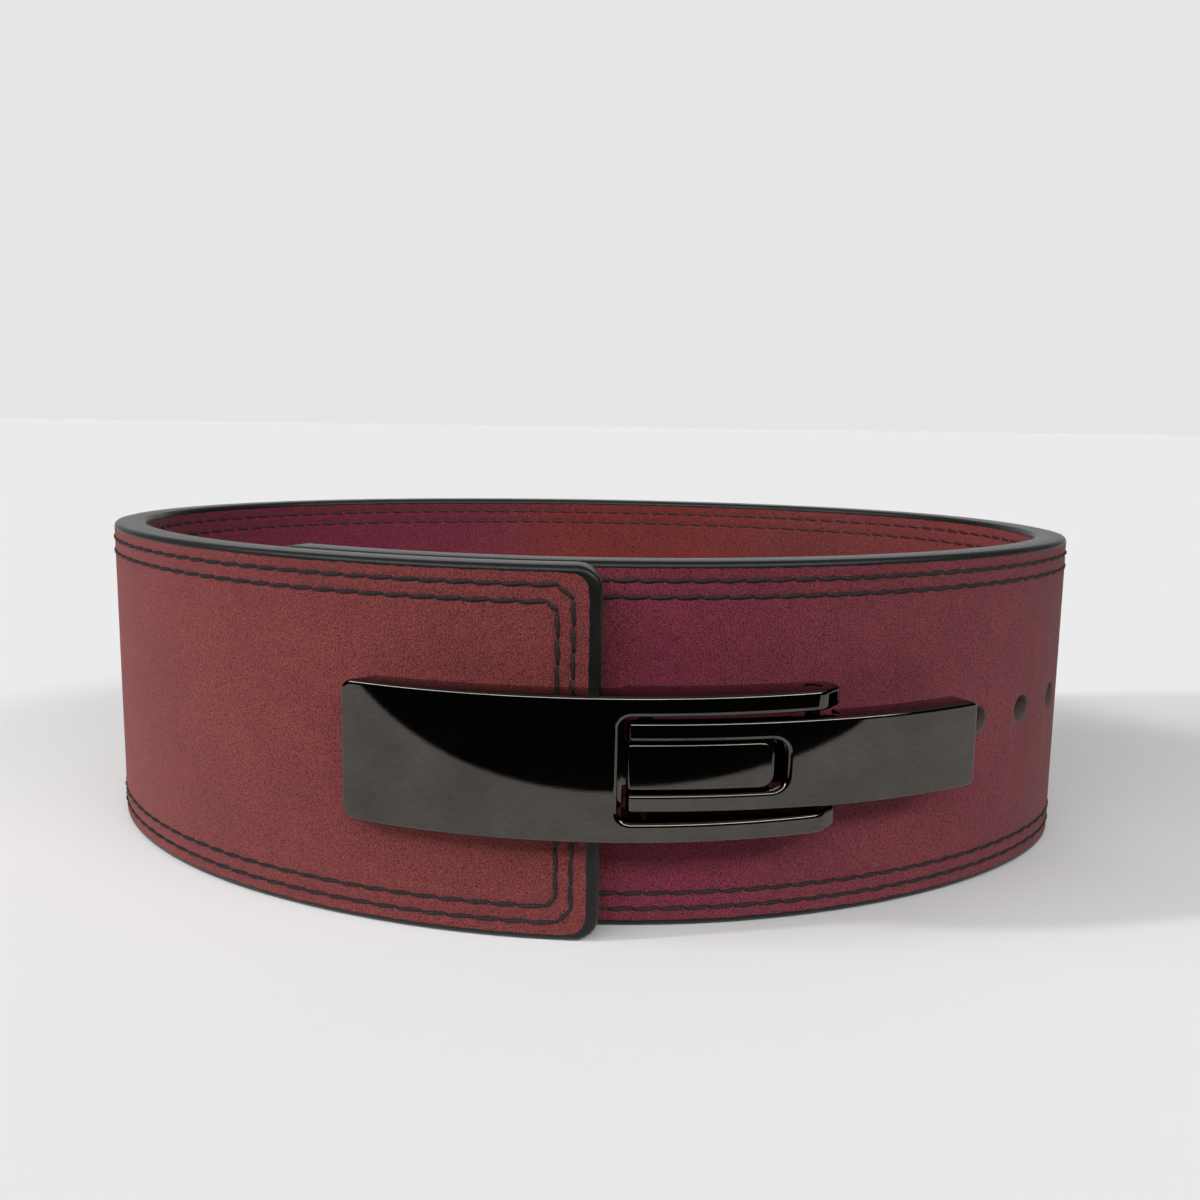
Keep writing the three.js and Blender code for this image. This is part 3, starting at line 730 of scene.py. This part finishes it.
sink = np.clip((lever_bow(lever_flat[:, 0]) - lever_flat[:, 2]) / LEVER_DEPTH, 0, 1)
lever_flat[:, 0] += GRIP_UNDERCUT * sink ** UNDERCUT_CURVE * reach_in * reach_in * (3 - 2 * reach_in)
set_points(lever, bent(lever_flat))
hinge_reach = lever_side - HINGE_COVER
pin_bores = [
    rod_cutter(PIVOT, LEVER_PIN_DIAMETER / 2 + PIN_GAP, 0, BELT_HEIGHT),
    rod_cutter(HINGE, HOOK_PIN_DIAMETER / 2 + PIN_GAP, MIDDLE - hinge_reach, MIDDLE + hinge_reach),
]
combine(lever, pin_bores, "DIFFERENCE")
smooth(lever)
print("lever:", len(lever.data.polygons), "faces")

# %% [markdown]
# The hook plate is the other moving half. Its two legs lie beside the tongue, its back is hollow,
# and its face falls towards the strap like a wave. It is drawn like the lever, as one outline, and
# its face is lifted to the wave after that, so the rounding follows it. Two prongs under the free
# end stand in the strap's holes. A notch in its walls leaves room for the pin of the lever.

# %% The hook plate's faces
def hook_wave(along):
    share = np.clip((along - FALL_START) / (HOOK_END - FALL_START), 0, 1)
    return HOOK_TOP - (HOOK_TOP - HOOK_END_RISE) * (1 - np.cos(share * math.pi / 2))


def leg_fall(along, radius):
    """How far a rounded leg end lies below the straight face that it ends."""
    reach = np.clip((LEG_END + radius - along) / radius, 0, 1)
    return radius * (1 - np.sqrt(1 - reach ** 2))


def hook_top(along):
    return hook_wave(along) - leg_fall(along, LEG_END_RADIUS)


def hook_low(along):
    return hook_wave(along) - HOOK_DEPTH + leg_fall(along, HOOK_DEPTH / 2)


# %% The hook plate
HOOK_ROUND = 0.95 * MM
LEG_CORNER = 1.0 * MM
hook_side = HOOK_HEIGHT / 2
leg_inside = hook_side - LEG_HEIGHT
hook_corners = [
    (LEG_END, MIDDLE - hook_side, LEG_CORNER),
    (HOOK_END, MIDDLE - hook_side, HOOK_CORNER_RADIUS),
    (HOOK_END, MIDDLE + hook_side, HOOK_CORNER_RADIUS),
    (LEG_END, MIDDLE + hook_side, LEG_CORNER),
    (LEG_END, MIDDLE + leg_inside, LEG_CORNER),
    (SLOT_END, MIDDLE + leg_inside, SLOT_CORNER_RADIUS),
    (SLOT_END, MIDDLE - leg_inside, SLOT_CORNER_RADIUS),
    (LEG_END, MIDDLE - leg_inside, LEG_CORNER),
]
hook = block("hook_plate_fine", hook_corners, HOOK_DEPTH, HOOK_ROUND, HOOK_ROUND * LOW_ROUND_SHARE)
hook_hollow = box_cutter(
    (SLOT_END - SLOT_CORNER_RADIUS, MIDDLE - hook_side + HOOK_WALL, -MM),
    (HOOK_END - HOOK_WALL, MIDDLE + hook_side - HOOK_WALL, HOOK_DEPTH - HOOK_PLATE),
)
notch_top = PIVOT[1] + LEVER_PIN_DIAMETER / 2 + NOTCH_CLEARANCE - (HOOK_TOP - HOOK_DEPTH)
hook_notch = box_cutter(
    (PIVOT[0] - NOTCH_HALF, 0, -MM),
    (PIVOT[0] + NOTCH_HALF, BELT_HEIGHT, notch_top),
)
combine(hook, [hook_hollow, hook_notch], "DIFFERENCE")
round_end = [LEG_END + HOOK_DEPTH / 2 * (1 - math.cos(t)) for t in np.linspace(0.12, math.pi / 2, 14)]
slice_across(hook, round_end + fine_lines(HINGE[0], HOOK_END, 1.4 * MM))
hook_flat = shaped(hook, HOOK_DEPTH, hook_top, hook_low, HOOK_ROUND)
set_points(hook, bent(hook_flat))

# %% [markdown]
# The prongs are turned studs with a round tip that finds its hole. Both point the way in which
# the hook plate is pulled off when the lever opens, so neither of them jams. A lathe shape gives
# the tip, the taper and the boss from one short profile.

# %% The prongs
PRONG_SIDES = 32
TIP_FLAT = 0.8 * MM
TIP_EASE = 0.25 * MM
TIP_STEP = 0.2 * MM
BOSS_STEP = 0.6 * MM
pivot_point = plan_point(*PIVOT) + PLAN_SHIFT
hinge_point = plan_point(*HINGE) + PLAN_SHIFT
arm = (hinge_point - pivot_point) / np.linalg.norm(hinge_point - pivot_point)
inward = Vector((arm[1], -arm[0], 0))
prongs = []
for i in range(PRONG_COUNT):
    along = FIRST_PRONG + i * HOLE_PITCH
    root = float(hook_wave(np.array(along))) - HOOK_PLATE / 2
    length = root + PRONG_BITE
    tip_radius, root_radius = PRONG_TIP_DIAMETER / 2, PRONG_ROOT_DIAMETER / 2
    prong = lathe("prong", [
        (tip_radius - TIP_FLAT, 0),
        (tip_radius - TIP_EASE, TIP_STEP),
        (tip_radius, TIP_FLAT),
        (root_radius, length - HOOK_DEPTH + HOOK_PLATE),
        (PRONG_BOSS_DIAMETER / 2, length - HOOK_DEPTH + HOOK_PLATE + BOSS_STEP),
        (PRONG_BOSS_DIAMETER / 2, length),
    ], PRONG_SIDES)
    mouth = bent([(along, MIDDLE, -PRONG_BITE / 2)])[0]
    tip = Vector(mouth) + inward * PRONG_BITE / 2
    turn = Vector((0, 0, 1)).rotation_difference(-inward).to_matrix().to_4x4()
    prong.data.transform(Matrix.Translation(tip) @ turn)
    prongs.append(prong)
combine(hook, prongs, "UNION")
combine(hook, [rod_cutter(HINGE, HOOK_PIN_DIAMETER / 2 + PIN_GAP, 0, BELT_HEIGHT)], "DIFFERENCE")
smooth(hook)
print("hook plate:", len(hook.data.polygons), "faces")

# %% [markdown]
# The base plate stays on the belt. What shows of it is the raised pad in the hook plate's slot.
# Its foot lies hidden under the grip, and two screws come up into its bosses from the flap's
# inner side. Only the pad is polished all round, so it is joined from simple blocks, as a maker
# would draw it. The blocks overlap by a hair, which lets the joining find clean edges.

# %% The base plate
PAD_ROUND = 0.8 * MM
PLATE_ROUND = 0.4 * MM
HAIR = 0.01 * MM
TONGUE_OVERLAP = 6 * MM
TONGUE_CORNER = 0.5 * MM
PAD_LEFT_CORNER = 1.3 * MM
tongue_side = TONGUE_HEIGHT / 2
pad_top = HOOK_TOP - PAD_BELOW_HOOK


def level_block(name, corners, low, high, rounding):
    """A block between two fixed distances outwards, bent round the belt."""
    made = block(name, corners, high - low, rounding, min(rounding, 0.3 * MM))
    ends = [corner[0] for corner in corners]
    slice_across(made, fine_lines(min(ends), max(ends), 1.4 * MM))
    points = flat_points(made)
    points[:, 2] += low
    set_points(made, bent(points))
    return made


def outward_peg(along, profile, sides=40):
    """A turned shape that points straight out of the belt; profile heights are distances outwards."""
    made = lathe("peg", profile, sides)
    angle = float(angle_at(along))
    x, y = plan_point(along, 0.0) + PLAN_SHIFT
    way = Vector((math.cos(angle), math.sin(angle), 0))
    turn = Vector((0, 0, 1)).rotation_difference(way).to_matrix().to_4x4()
    made.data.transform(Matrix.Translation((x, y, MIDDLE)) @ turn)
    return made


base = level_block(
    "base_plate_fine",
    rectangle(
        FOOT_LEFT, FOOT_RIGHT, MIDDLE - FOOT_HEIGHT / 2, MIDDLE + FOOT_HEIGHT / 2,
        FOOT_CORNER_RADIUS, FOOT_CORNER_RADIUS,
    ),
    SEAT,
    SEAT + BASE_PLATE,
    PLATE_ROUND,
)
tongue = level_block(
    "tongue",
    rectangle(
        FOOT_RIGHT - TONGUE_OVERLAP, PIVOT[0], MIDDLE - tongue_side, MIDDLE + tongue_side,
        TONGUE_CORNER, TONGUE_CORNER,
    ),
    SEAT + HAIR,
    SEAT + BASE_PLATE - HAIR,
    PLATE_ROUND / 2,
)
pad = level_block(
    "pad",
    rectangle(
        LEG_END, SLOT_END - PAD_END_GAP, MIDDLE - tongue_side + HAIR, MIDDLE + tongue_side - HAIR,
        PAD_LEFT_CORNER, PAD_CORNER_RADIUS * 1.5,
    ),
    SEAT + 2 * HAIR,
    pad_top,
    PAD_ROUND,
)
boss_top = SEAT + BASE_PLATE + SCREW_BOSS_RISE
boss_radius = SCREW_BOSS_DIAMETER / 2
bosses = [
    outward_peg(along, [
        (boss_radius + 0.5 * MM, SEAT + BASE_PLATE / 2),
        (boss_radius, SEAT + BASE_PLATE + 0.5 * MM),
        (boss_radius, boss_top - 0.3 * MM),
        (boss_radius - 0.3 * MM, boss_top),
    ])
    for along in SCREW_PLACES
]
barrel_reach = tongue_side + 2 * HAIR
barrel = rod_cutter(PIVOT, BARREL_RADIUS, MIDDLE - barrel_reach, MIDDLE + barrel_reach)
combine(base, [tongue, pad, barrel, *bosses], "UNION")
bore_radius = SCREW_DIAMETER / 2 + PIN_GAP
base_bores = [
    outward_peg(along, [(bore_radius, SEAT - MM), (bore_radius, boss_top + MM)])
    for along in SCREW_PLACES
]
base_bores.append(rod_cutter(PIVOT, LEVER_PIN_DIAMETER / 2 + PIN_GAP, 0, BELT_HEIGHT))
combine(base, base_bores, "DIFFERENCE")
smooth(base)
print("base plate:", len(base.data.polygons), "faces")

# %% [markdown]
# Three plain pins hold the buckle. One goes right through the arms and the barrel. The other two
# are short and end under a skin of metal in the arms, so no pin shows at the hook plate's hinge.
# A lathe profile with a small chamfer is all they need.

# %% The pins
PIN_SIDES = 40
PIN_CHAMFER = 0.25 * MM


def pin(name, place, diameter, low, high):
    radius = diameter / 2
    made = lathe(name, [
        (radius - PIN_CHAMFER, low),
        (radius, low + PIN_CHAMFER),
        (radius, high - PIN_CHAMFER),
        (radius - PIN_CHAMFER, high),
    ], PIN_SIDES)
    x, y = plan_point(*place) + PLAN_SHIFT
    made.data.transform(Matrix.Translation((x, y, 0)))
    smooth(made)
    print(name, round((high - low) / MM, 1), "mm long")
    return made


pin_reach = lever_side - PIN_RECESS
hook_pin_start = hook_side - LEG_HEIGHT + PIN_RECESS
hook_pin_end = hinge_reach - PIN_RECESS
lever_pin = pin("lever_pin_fine", PIVOT, LEVER_PIN_DIAMETER, MIDDLE - pin_reach, MIDDLE + pin_reach)
upper_pin = pin(
    "hook_pin_upper_fine", HINGE, HOOK_PIN_DIAMETER, MIDDLE + hook_pin_start, MIDDLE + hook_pin_end
)
lower_pin = pin(
    "hook_pin_lower_fine", HINGE, HOOK_PIN_DIAMETER, MIDDLE - hook_pin_end, MIDDLE - hook_pin_start
)

# %% [markdown]
# Finishes are written as sums. A small class stands for one output of a node, and its operators
# add the nodes that work them out, so a mask reads like a line of algebra.

# %% Shader values
class Value:
    def __init__(self, tree, socket):
        self.tree = tree
        self.socket = socket

    def math(self, operation, first, second=None):
        node = self.tree.nodes.new("ShaderNodeMath")
        node.operation = operation
        for slot_index, value in enumerate((first, second)):
            if isinstance(value, Value):
                self.tree.links.new(value.socket, node.inputs[slot_index])
            elif value is not None:
                node.inputs[slot_index].default_value = value
        return Value(self.tree, node.outputs[0])

    def __add__(self, other):
        return self.math("ADD", self, other)

    __radd__ = __add__

    def __sub__(self, other):
        return self.math("SUBTRACT", self, other)

    def __rsub__(self, other):
        return self.math("SUBTRACT", other, self)

    def __mul__(self, other):
        return self.math("MULTIPLY", self, other)

    __rmul__ = __mul__

    def clamped(self):
        return self.math("MAXIMUM", self.math("MINIMUM", self, 1.0), 0.0)


class Finish:
    def __init__(self, name):
        self.material = bpy.data.materials.new(name)
        self.material.use_nodes = True
        self.tree = self.material.node_tree
        self.shader = self.tree.nodes["Principled BSDF"]

    def node(self, kind, settings=None, values=None, output=0):
        made = self.tree.nodes.new(kind)
        for key, value in (settings or {}).items():
            setattr(made, key, value)
        for key, value in (values or {}).items():
            if isinstance(value, Value):
                self.tree.links.new(value.socket, made.inputs[key])
            else:
                made.inputs[key].default_value = value
        return Value(self.tree, made.outputs[output])

    def place(self):
        return self.node("ShaderNodeTexCoord", output=3)

    def attribute(self, name):
        return self.node("ShaderNodeAttribute", {"attribute_name": name}, output=2)

    def noise(self, where, scale, detail=2.0, roughness=0.5):
        values = {"Vector": where, "Scale": scale, "Detail": detail, "Roughness": roughness}
        return self.node("ShaderNodeTexNoise", None, values)

    def between(self, value, low, high):
        return self.node(
            "ShaderNodeMapRange",
            {"interpolation_type": "SMOOTHSTEP"},
            {"Value": value, "From Min": low, "From Max": high},
        )

    def mix(self, share, first, second):
        return self.node(
            "ShaderNodeMix",
            {"data_type": "RGBA"},
            {"Factor": share, 6: first, 7: second},
            output=2,
        )

    def times(self, colour, share):
        """A colour made darker or lighter."""
        return self.node("ShaderNodeVectorMath", {"operation": "SCALE"}, {0: colour, "Scale": share})

    def ramp(self, value, stops):
        made = self.tree.nodes.new("ShaderNodeValToRGB")
        elements = made.color_ramp.elements
        while len(elements) < len(stops):
            elements.new(0.5)
        for element, (position, colour) in zip(elements, stops):
            element.position = position
            element.color = (*colour, 1)
        self.tree.links.new(value.socket, made.inputs[0])
        return Value(self.tree, made.outputs[0])

    def bump(self, height, distance, strength):
        return self.node("ShaderNodeBump", None, {
            "Height": height,
            "Distance": distance,
            "Strength": strength,
        })

    def set(self, **values):
        for key, value in values.items():
            name = key.replace("_", " ")
            if isinstance(value, Value):
                self.tree.links.new(value.socket, self.shader.inputs[name])
            else:
                self.shader.inputs[name].default_value = value
        return self.material


# %% [markdown]
# Nubuck is leather whose grain side is sanded to a short nap. It has no shine, only fine specks,
# and each tone drifts a little at random. Soft zones along the belt then say where each tone lies:
# plum where the strap lies in shade and brick where light falls on it, with rose and red between.
# These zones are painted shade and light in the leather's colour. The cut edge is sanded round and
# painted black, and the paint laps a little over the face. A punched hole shows the undyed leather.

# %% Nubuck with painted edges
def linear(red, green, blue):
    """A colour as seen on a screen, in the light values that shaders use."""
    values = [c / 255 for c in (red, green, blue)]
    return tuple(c / 12.92 if c <= 0.04045 else ((c + 0.055) / 1.055) ** 2.4 for c in values)


PAINT_LAP = 1.8 * MM
PAINT_EDGE = 0.12 * MM
PAINT = linear(15, 14, 13)
RAW_HIDE = linear(84, 74, 70)
NAP_HEIGHT = 0.12 * MM
DRIFT_SCALE = 14.0
MOTTLE_SCALE = 60.0
GRAIN_SCALE = 2700.0
WOBBLE_SCALE = 420.0
STROKE_SCALE = 650.0
leather = Finish("maroon_nubuck")
where = leather.place()
along = leather.attribute("along")
drift = leather.noise(where, DRIFT_SCALE, 3.0)


def drifting_tone(dark, light):
    """A tone that drifts between two colours."""
    return leather.ramp(drift, [(0.3, linear(*dark)), (0.7, linear(*light))])


def zone(rise, fall):
    """A share that is 1 between two soft borders, each given as a start and an end in metres."""
    return leather.between(along, *rise) * (1 - leather.between(along, *fall))


# Painted light and shade: brick stands for the lit leather and plum for the leather in shade, with rose and
# red for places between.
brick = drifting_tone((100, 43, 43), (107, 47, 46))
plum = drifting_tone((100, 33, 51), (107, 37, 54))
rose = drifting_tone((101, 42, 50), (108, 46, 53))
red = drifting_tone((105, 37, 37), (111, 41, 40))
front_shade_plum = zone((-0.03, 0.02), (0.0, 0.09))
front_rose = zone((-0.03, 0.02), (0.12, 0.19))
back_shade_plum = zone((0.43, 0.49), (0.60, 0.66))
back_red = zone((0.33, 0.39), (0.43, 0.49))
hide_and_shade = leather.mix(front_rose, leather.mix(back_red, brick, red), rose)
hide_and_shade = leather.mix((front_shade_plum + back_shade_plum).clamped(), hide_and_shade, plum)

# %% Grain, paint and the leather's material
specks = leather.noise(where, GRAIN_SCALE, 2.0, 0.8)
grain = leather.between(specks, 0.34, 0.66)
mottle = leather.noise(where, MOTTLE_SCALE, 3.0)
hide_and_shade = leather.times(hide_and_shade, 0.86 + mottle * 0.28)
speckled = leather.mix(grain, leather.times(hide_and_shade, 0.34), leather.times(hide_and_shade, 1.66))
wobble = leather.noise(where, WOBBLE_SCALE, 3.0)
lap = leather.attribute("rim") + (wobble - 0.5) * (0.8 * MM)
painted = 1 - leather.between(lap, PAINT_LAP - PAINT_EDGE, PAINT_LAP + PAINT_EDGE)
strokes = leather.noise(where, STROKE_SCALE, 4.0, 0.65)
bore = leather.attribute("bore")
leather_material = leather.set(
    Base_Color=leather.mix(painted, leather.mix(bore, speckled, (*RAW_HIDE, 1)), (*PAINT, 1)),
    Roughness=0.90 - painted * 0.50 + (strokes - 0.5) * 0.2 * painted,
    Specular_IOR_Level=0.3,
    Sheen_Weight=0.08,
    Sheen_Roughness=0.45,
    Normal=leather.bump(grain * (1 - painted) + strokes * painted, NAP_HEIGHT, 0.45),
)
print("finish:", leather_material.name, "with", len(leather.tree.nodes), "nodes")

# %% [markdown]
# Black nickel is a mirror that gives back little light. Nearly all of its look is what it
# reflects: the pale table below, the dark room in front, the bright wall behind. A trace of fine
# scratches along the length keeps it from looking like glass. The thread is waxed and nearly
# black, and its lighter strands catch the light.

# %% Metals and thread
SCRATCH_STRETCH = (0.08, 0.08, 1.0)
SCRATCH_SCALE = 5200.0
SMUDGE_SCALE = 60.0
STRAND_SCALE = 1900.0
WORN_DARK = 0.78
WORN_LIGHT = 1.18


def metal(name, tint, roughness, scratch):
    finish = Finish(name)
    spot = finish.place()
    stretched = finish.node("ShaderNodeMapping", None, {"Vector": spot, "Scale": SCRATCH_STRETCH})
    lines = finish.noise(stretched, SCRATCH_SCALE, 3.0, 0.6)
    smudge = finish.noise(spot, SMUDGE_SCALE, 3.0)
    worn = finish.between(lines * 0.5 + smudge * 0.5, 0.3, 0.7)
    dark = (*(WORN_DARK * part for part in tint), 1)
    light = (*(WORN_LIGHT * part for part in tint), 1)
    return finish.set(
        Base_Color=finish.mix(worn, dark, light),
        Metallic=1.0,
        Roughness=roughness + (lines - 0.5) * 0.03 + (smudge - 0.5) * 0.03,
        Normal=finish.bump(lines, scratch, 0.4),
    )


black_nickel = metal("black_nickel", (0.086, 0.078, 0.070), 0.035, 0.000002)
turned_steel = metal("turned_steel", (0.45, 0.44, 0.42), 0.30, 0.000004)
pin_steel = metal("pin_black", (0.16, 0.15, 0.14), 0.22, 0.000004)


def thread(name, dark, light):
    finish = Finish(name)
    spot = finish.place()
    strands = finish.noise(spot, STRAND_SCALE, 2.0, 0.7)
    return finish.set(
        Base_Color=finish.mix(finish.between(strands, 0.56, 0.72), (*dark, 1), (*light, 1)),
        Roughness=0.7,
        Normal=finish.bump(strands, 0.0002, 0.6),
    )


black_thread = thread("black_thread", linear(5, 5, 5), linear(52, 47, 46))
plum_thread = thread("plum_thread", linear(50, 14, 22), linear(70, 26, 34))

# %% [markdown]
# Now the seams are sewn: the black thread on the outer face, and a plum thread that hardly shows
# on the inner face. The tree's result is kept as a plain mesh, so nothing depends on a modifier.

# %% Sewing the seams
THREAD_RADIUS = 0.58 * MM
STITCH_OVERLAP = 1.02
INNER_SEAM_DEPTH = LEATHER - 0.3 * MM
SEAM_SLANT = math.radians(4)
stitch = one_stitch("stitch", STITCH_PITCH * STITCH_OVERLAP, THREAD_RADIUS)


def sew(name, out, material, slant):
    path = seam_path(name, out)
    tree, (stitch_key, slant_key) = stitching_tree(material)
    change = path.modifiers.new("stitching", "NODES")
    change.node_group = tree
    change[stitch_key] = stitch
    change[slant_key] = slant
    evaluated = path.evaluated_get(bpy.context.evaluated_depsgraph_get())
    sewn = bpy.data.meshes.new_from_object(evaluated)
    bpy.data.objects.remove(path)
    made = bpy.data.objects.new(name, sewn)
    bpy.context.scene.collection.objects.link(made)
    made.data.polygons.foreach_set("use_smooth", [True] * len(made.data.polygons))
    print(name, len(made.data.polygons), "faces")
    return made


seam_outer = sew("seam_outer", 0.0, black_thread, SEAM_SLANT)
seam_inner = sew("seam_inner", -INNER_SEAM_DEPTH, plum_thread, -SEAM_SLANT)
bpy.data.objects.remove(stitch)

# %% [markdown]
# Each fine piece now stands for its plain node and rides on the same body, so the lever and the
# hook plate still move when the buckle opens.

# %% Standing for the plain nodes
RIDES = [
    (strap, "belt_strap", "belt", "leather", leather_material),
    (base, "base_plate", "belt", "black_metal", black_nickel),
    (lever_pin, "lever_pin", "belt", "steel", pin_steel),
    (lever, "lever", "lever_arm", "black_metal", black_nickel),
    (upper_pin, "hook_pin_upper", "lever_arm", "steel", pin_steel),
    (lower_pin, "hook_pin_lower", "lever_arm", "steel", pin_steel),
    (hook, "hook_plate", "hook", "black_metal", black_nickel),
]
for piece, node_name, body, slot_name, material in RIDES:
    piece.data.materials.clear()
    piece.data.materials.append(material)
    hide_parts(node_name)
    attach(piece, body)
for seam in (seam_outer, seam_inner):
    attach(seam, "belt")
for node_name in ("base_screw_1", "base_screw_2"):
    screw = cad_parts[node_name]
    screw.data.materials.clear()
    screw.data.materials.append(turned_steel)
print("standing for the solids:", [row[1] for row in RIDES])

# %% [markdown]
# The belt stands on a pale table in front of a pale wall. The table ends a hand's width in front
# of the belt, out of sight, and beyond it the room is dark. The polished metal needs that edge.
# A long soft light box hangs above the front. It could be a lamp, but as part of the room it also
# shows in the metal, as a bright line along the rounded edges.

# %% The table
WALL_GREY = linear(230, 230, 230)[0]
TABLE_FRONT = -0.262
TABLE_FAR = 12.0
TABLE_GREY = 0.74
TABLE_TOP = -0.2 * MM
table_mesh = bmesh.new()
table_corners = [
    (-TABLE_FAR, TABLE_FRONT),
    (TABLE_FAR, TABLE_FRONT),
    (TABLE_FAR, TABLE_FAR),
    (-TABLE_FAR, TABLE_FAR),
]
table_mesh.faces.new([table_mesh.verts.new((x, y, TABLE_TOP)) for x, y in table_corners])
table = object_of("table", table_mesh)
table_finish = Finish("pale_table")
table_material = table_finish.set(
    Base_Color=(TABLE_GREY, TABLE_GREY, TABLE_GREY, 1),
    Roughness=1.0,
    Specular_IOR_Level=0.0,
)
table.data.materials.append(table_material)

# %% The room
CEILING = 0.25
DARK_ROOM = 0.012
BOX_LIGHT = 12.1
BOX_MIDDLE = Vector((-0.14, -1.0, 0.0)).normalized()
world = bpy.data.worlds.new("room")
bpy.context.scene.world = world
world.use_nodes = True
room = world.node_tree
room.nodes.clear()


def room_node(kind, settings=None, values=None, output=0):
    made = room.nodes.new(kind)
    for key, value in (settings or {}).items():
        setattr(made, key, value)
    for key, value in (values or {}).items():
        if isinstance(value, bpy.types.NodeSocket):
            room.links.new(value, made.inputs[key])
        else:
            made.inputs[key].default_value = value
    return made.outputs[output]


way = room_node("ShaderNodeTexCoord")
way_back = room_node("ShaderNodeSeparateXYZ", None, {0: way}, "Y")
way_up = room_node("ShaderNodeSeparateXYZ", None, {0: way}, "Z")
way_to_box = room_node(
    "ShaderNodeVectorMath", {"operation": "DOT_PRODUCT"}, {0: way, 1: BOX_MIDDLE}, "Value"
)


def step_up(value, start, end, top, low=0.0):
    return room_node(
        "ShaderNodeMapRange",
        {"interpolation_type": "SMOOTHSTEP"},
        {"Value": value, "From Min": start, "From Max": end, "To Min": low, "To Max": top},
    )


def combined(operation, first, second):
    return room_node("ShaderNodeMath", {"operation": operation}, {0: first, 1: second})


wall_sides = step_up(way_back, 0.60, 0.84, WALL_GREY, DARK_ROOM)
wall_height = step_up(way_up, 0.34, 0.52, 0.0, 1.0)
ceiling = step_up(way_up, 0.45, 0.75, CEILING)
bright = combined("MAXIMUM", combined("MULTIPLY", wall_sides, wall_height), ceiling)
box_sides = step_up(way_to_box, 0.14, 0.24, 1.0)
box_from = step_up(way_up, 0.48, 0.51, BOX_LIGHT)
box_to = step_up(way_up, 0.60, 0.63, 0.0, 1.0)
light_box = combined("MULTIPLY", combined("MULTIPLY", box_from, box_to), box_sides)
seen = combined("ADD", bright, light_box)
backdrop = room_node("ShaderNodeBackground", None, {"Color": seen, "Strength": 1.0})
world_end = room.nodes.new("ShaderNodeOutputWorld")
room.links.new(backdrop, world_end.inputs["Surface"])
print("the room has", len(room.nodes), "nodes")

# %% [markdown]
# Two low lamps stand on the left. One brightens the strap's left side at a grazing angle. The
# other throws the long shadow and lights only the table. One lamp could do both, but the strap's
# side would then be far too bright beside the shadow that is seen.

# %% The lights from the left
def low_light(name, from_front, elevation, energy, softness):
    """A far lamp on the left; its directions and softness are in degrees."""
    data = bpy.data.lights.new(name, "SUN")
    data.energy = energy
    data.angle = math.radians(softness)
    lamp = bpy.data.objects.new(name, data)
    bpy.context.scene.collection.objects.link(lamp)
    turn, rise = math.radians(from_front), math.radians(elevation)
    way = Vector((-math.cos(turn) * math.cos(rise), -math.sin(turn) * math.cos(rise), math.sin(rise)))
    lamp.rotation_mode = "QUATERNION"
    lamp.rotation_quaternion = way.to_track_quat("Z", "Y")
    lamp.visible_glossy = False
    return lamp


side_light = low_light("side_light", 0.0, 2.0, 3.2, 16.0)
shadow_light = low_light("shadow_light", 12.0, 16.5, 2.1, 3.5)
lit = bpy.data.collections.new("lit_by_shadow_light")
lit.objects.link(table)
shadow_light.light_linking.receiver_collection = lit
print("lamps:", side_light.name, "and", shadow_light.name)

# %% [markdown]
# The camera stands where the photographer's stood. Its place was worked out from the belt's
# edges: a little above the rim, close enough that the near side looks much taller than the far.

# %% The camera
CAMERA_FROM_PLAN = (4.3 * MM, -425.3 * MM, 137.95 * MM)
CAMERA_DOWN = math.radians(8.853)
CAMERA_ROLL = math.radians(0.825)
camera_data = bpy.data.cameras.new("camera")
camera_data.lens = 36.0
camera_data.sensor_width = 36.0
camera_data.dof.use_dof = False
camera_data.clip_start = 0.01
camera = bpy.data.objects.new("camera", camera_data)
bpy.context.scene.collection.objects.link(camera)
stand = Vector(CAMERA_FROM_PLAN) + Vector((*PLAN_SHIFT, 0))
tilt = Matrix.Rotation(math.pi / 2 - CAMERA_DOWN, 4, "X")
camera.matrix_world = Matrix.Translation(stand) @ tilt @ Matrix.Rotation(CAMERA_ROLL, 4, "Z")
bpy.context.scene.camera = camera
bpy.context.scene.view_settings.view_transform = "Standard"
print("the camera stands at", tuple(round(part / MM, 1) for part in stand), "mm")
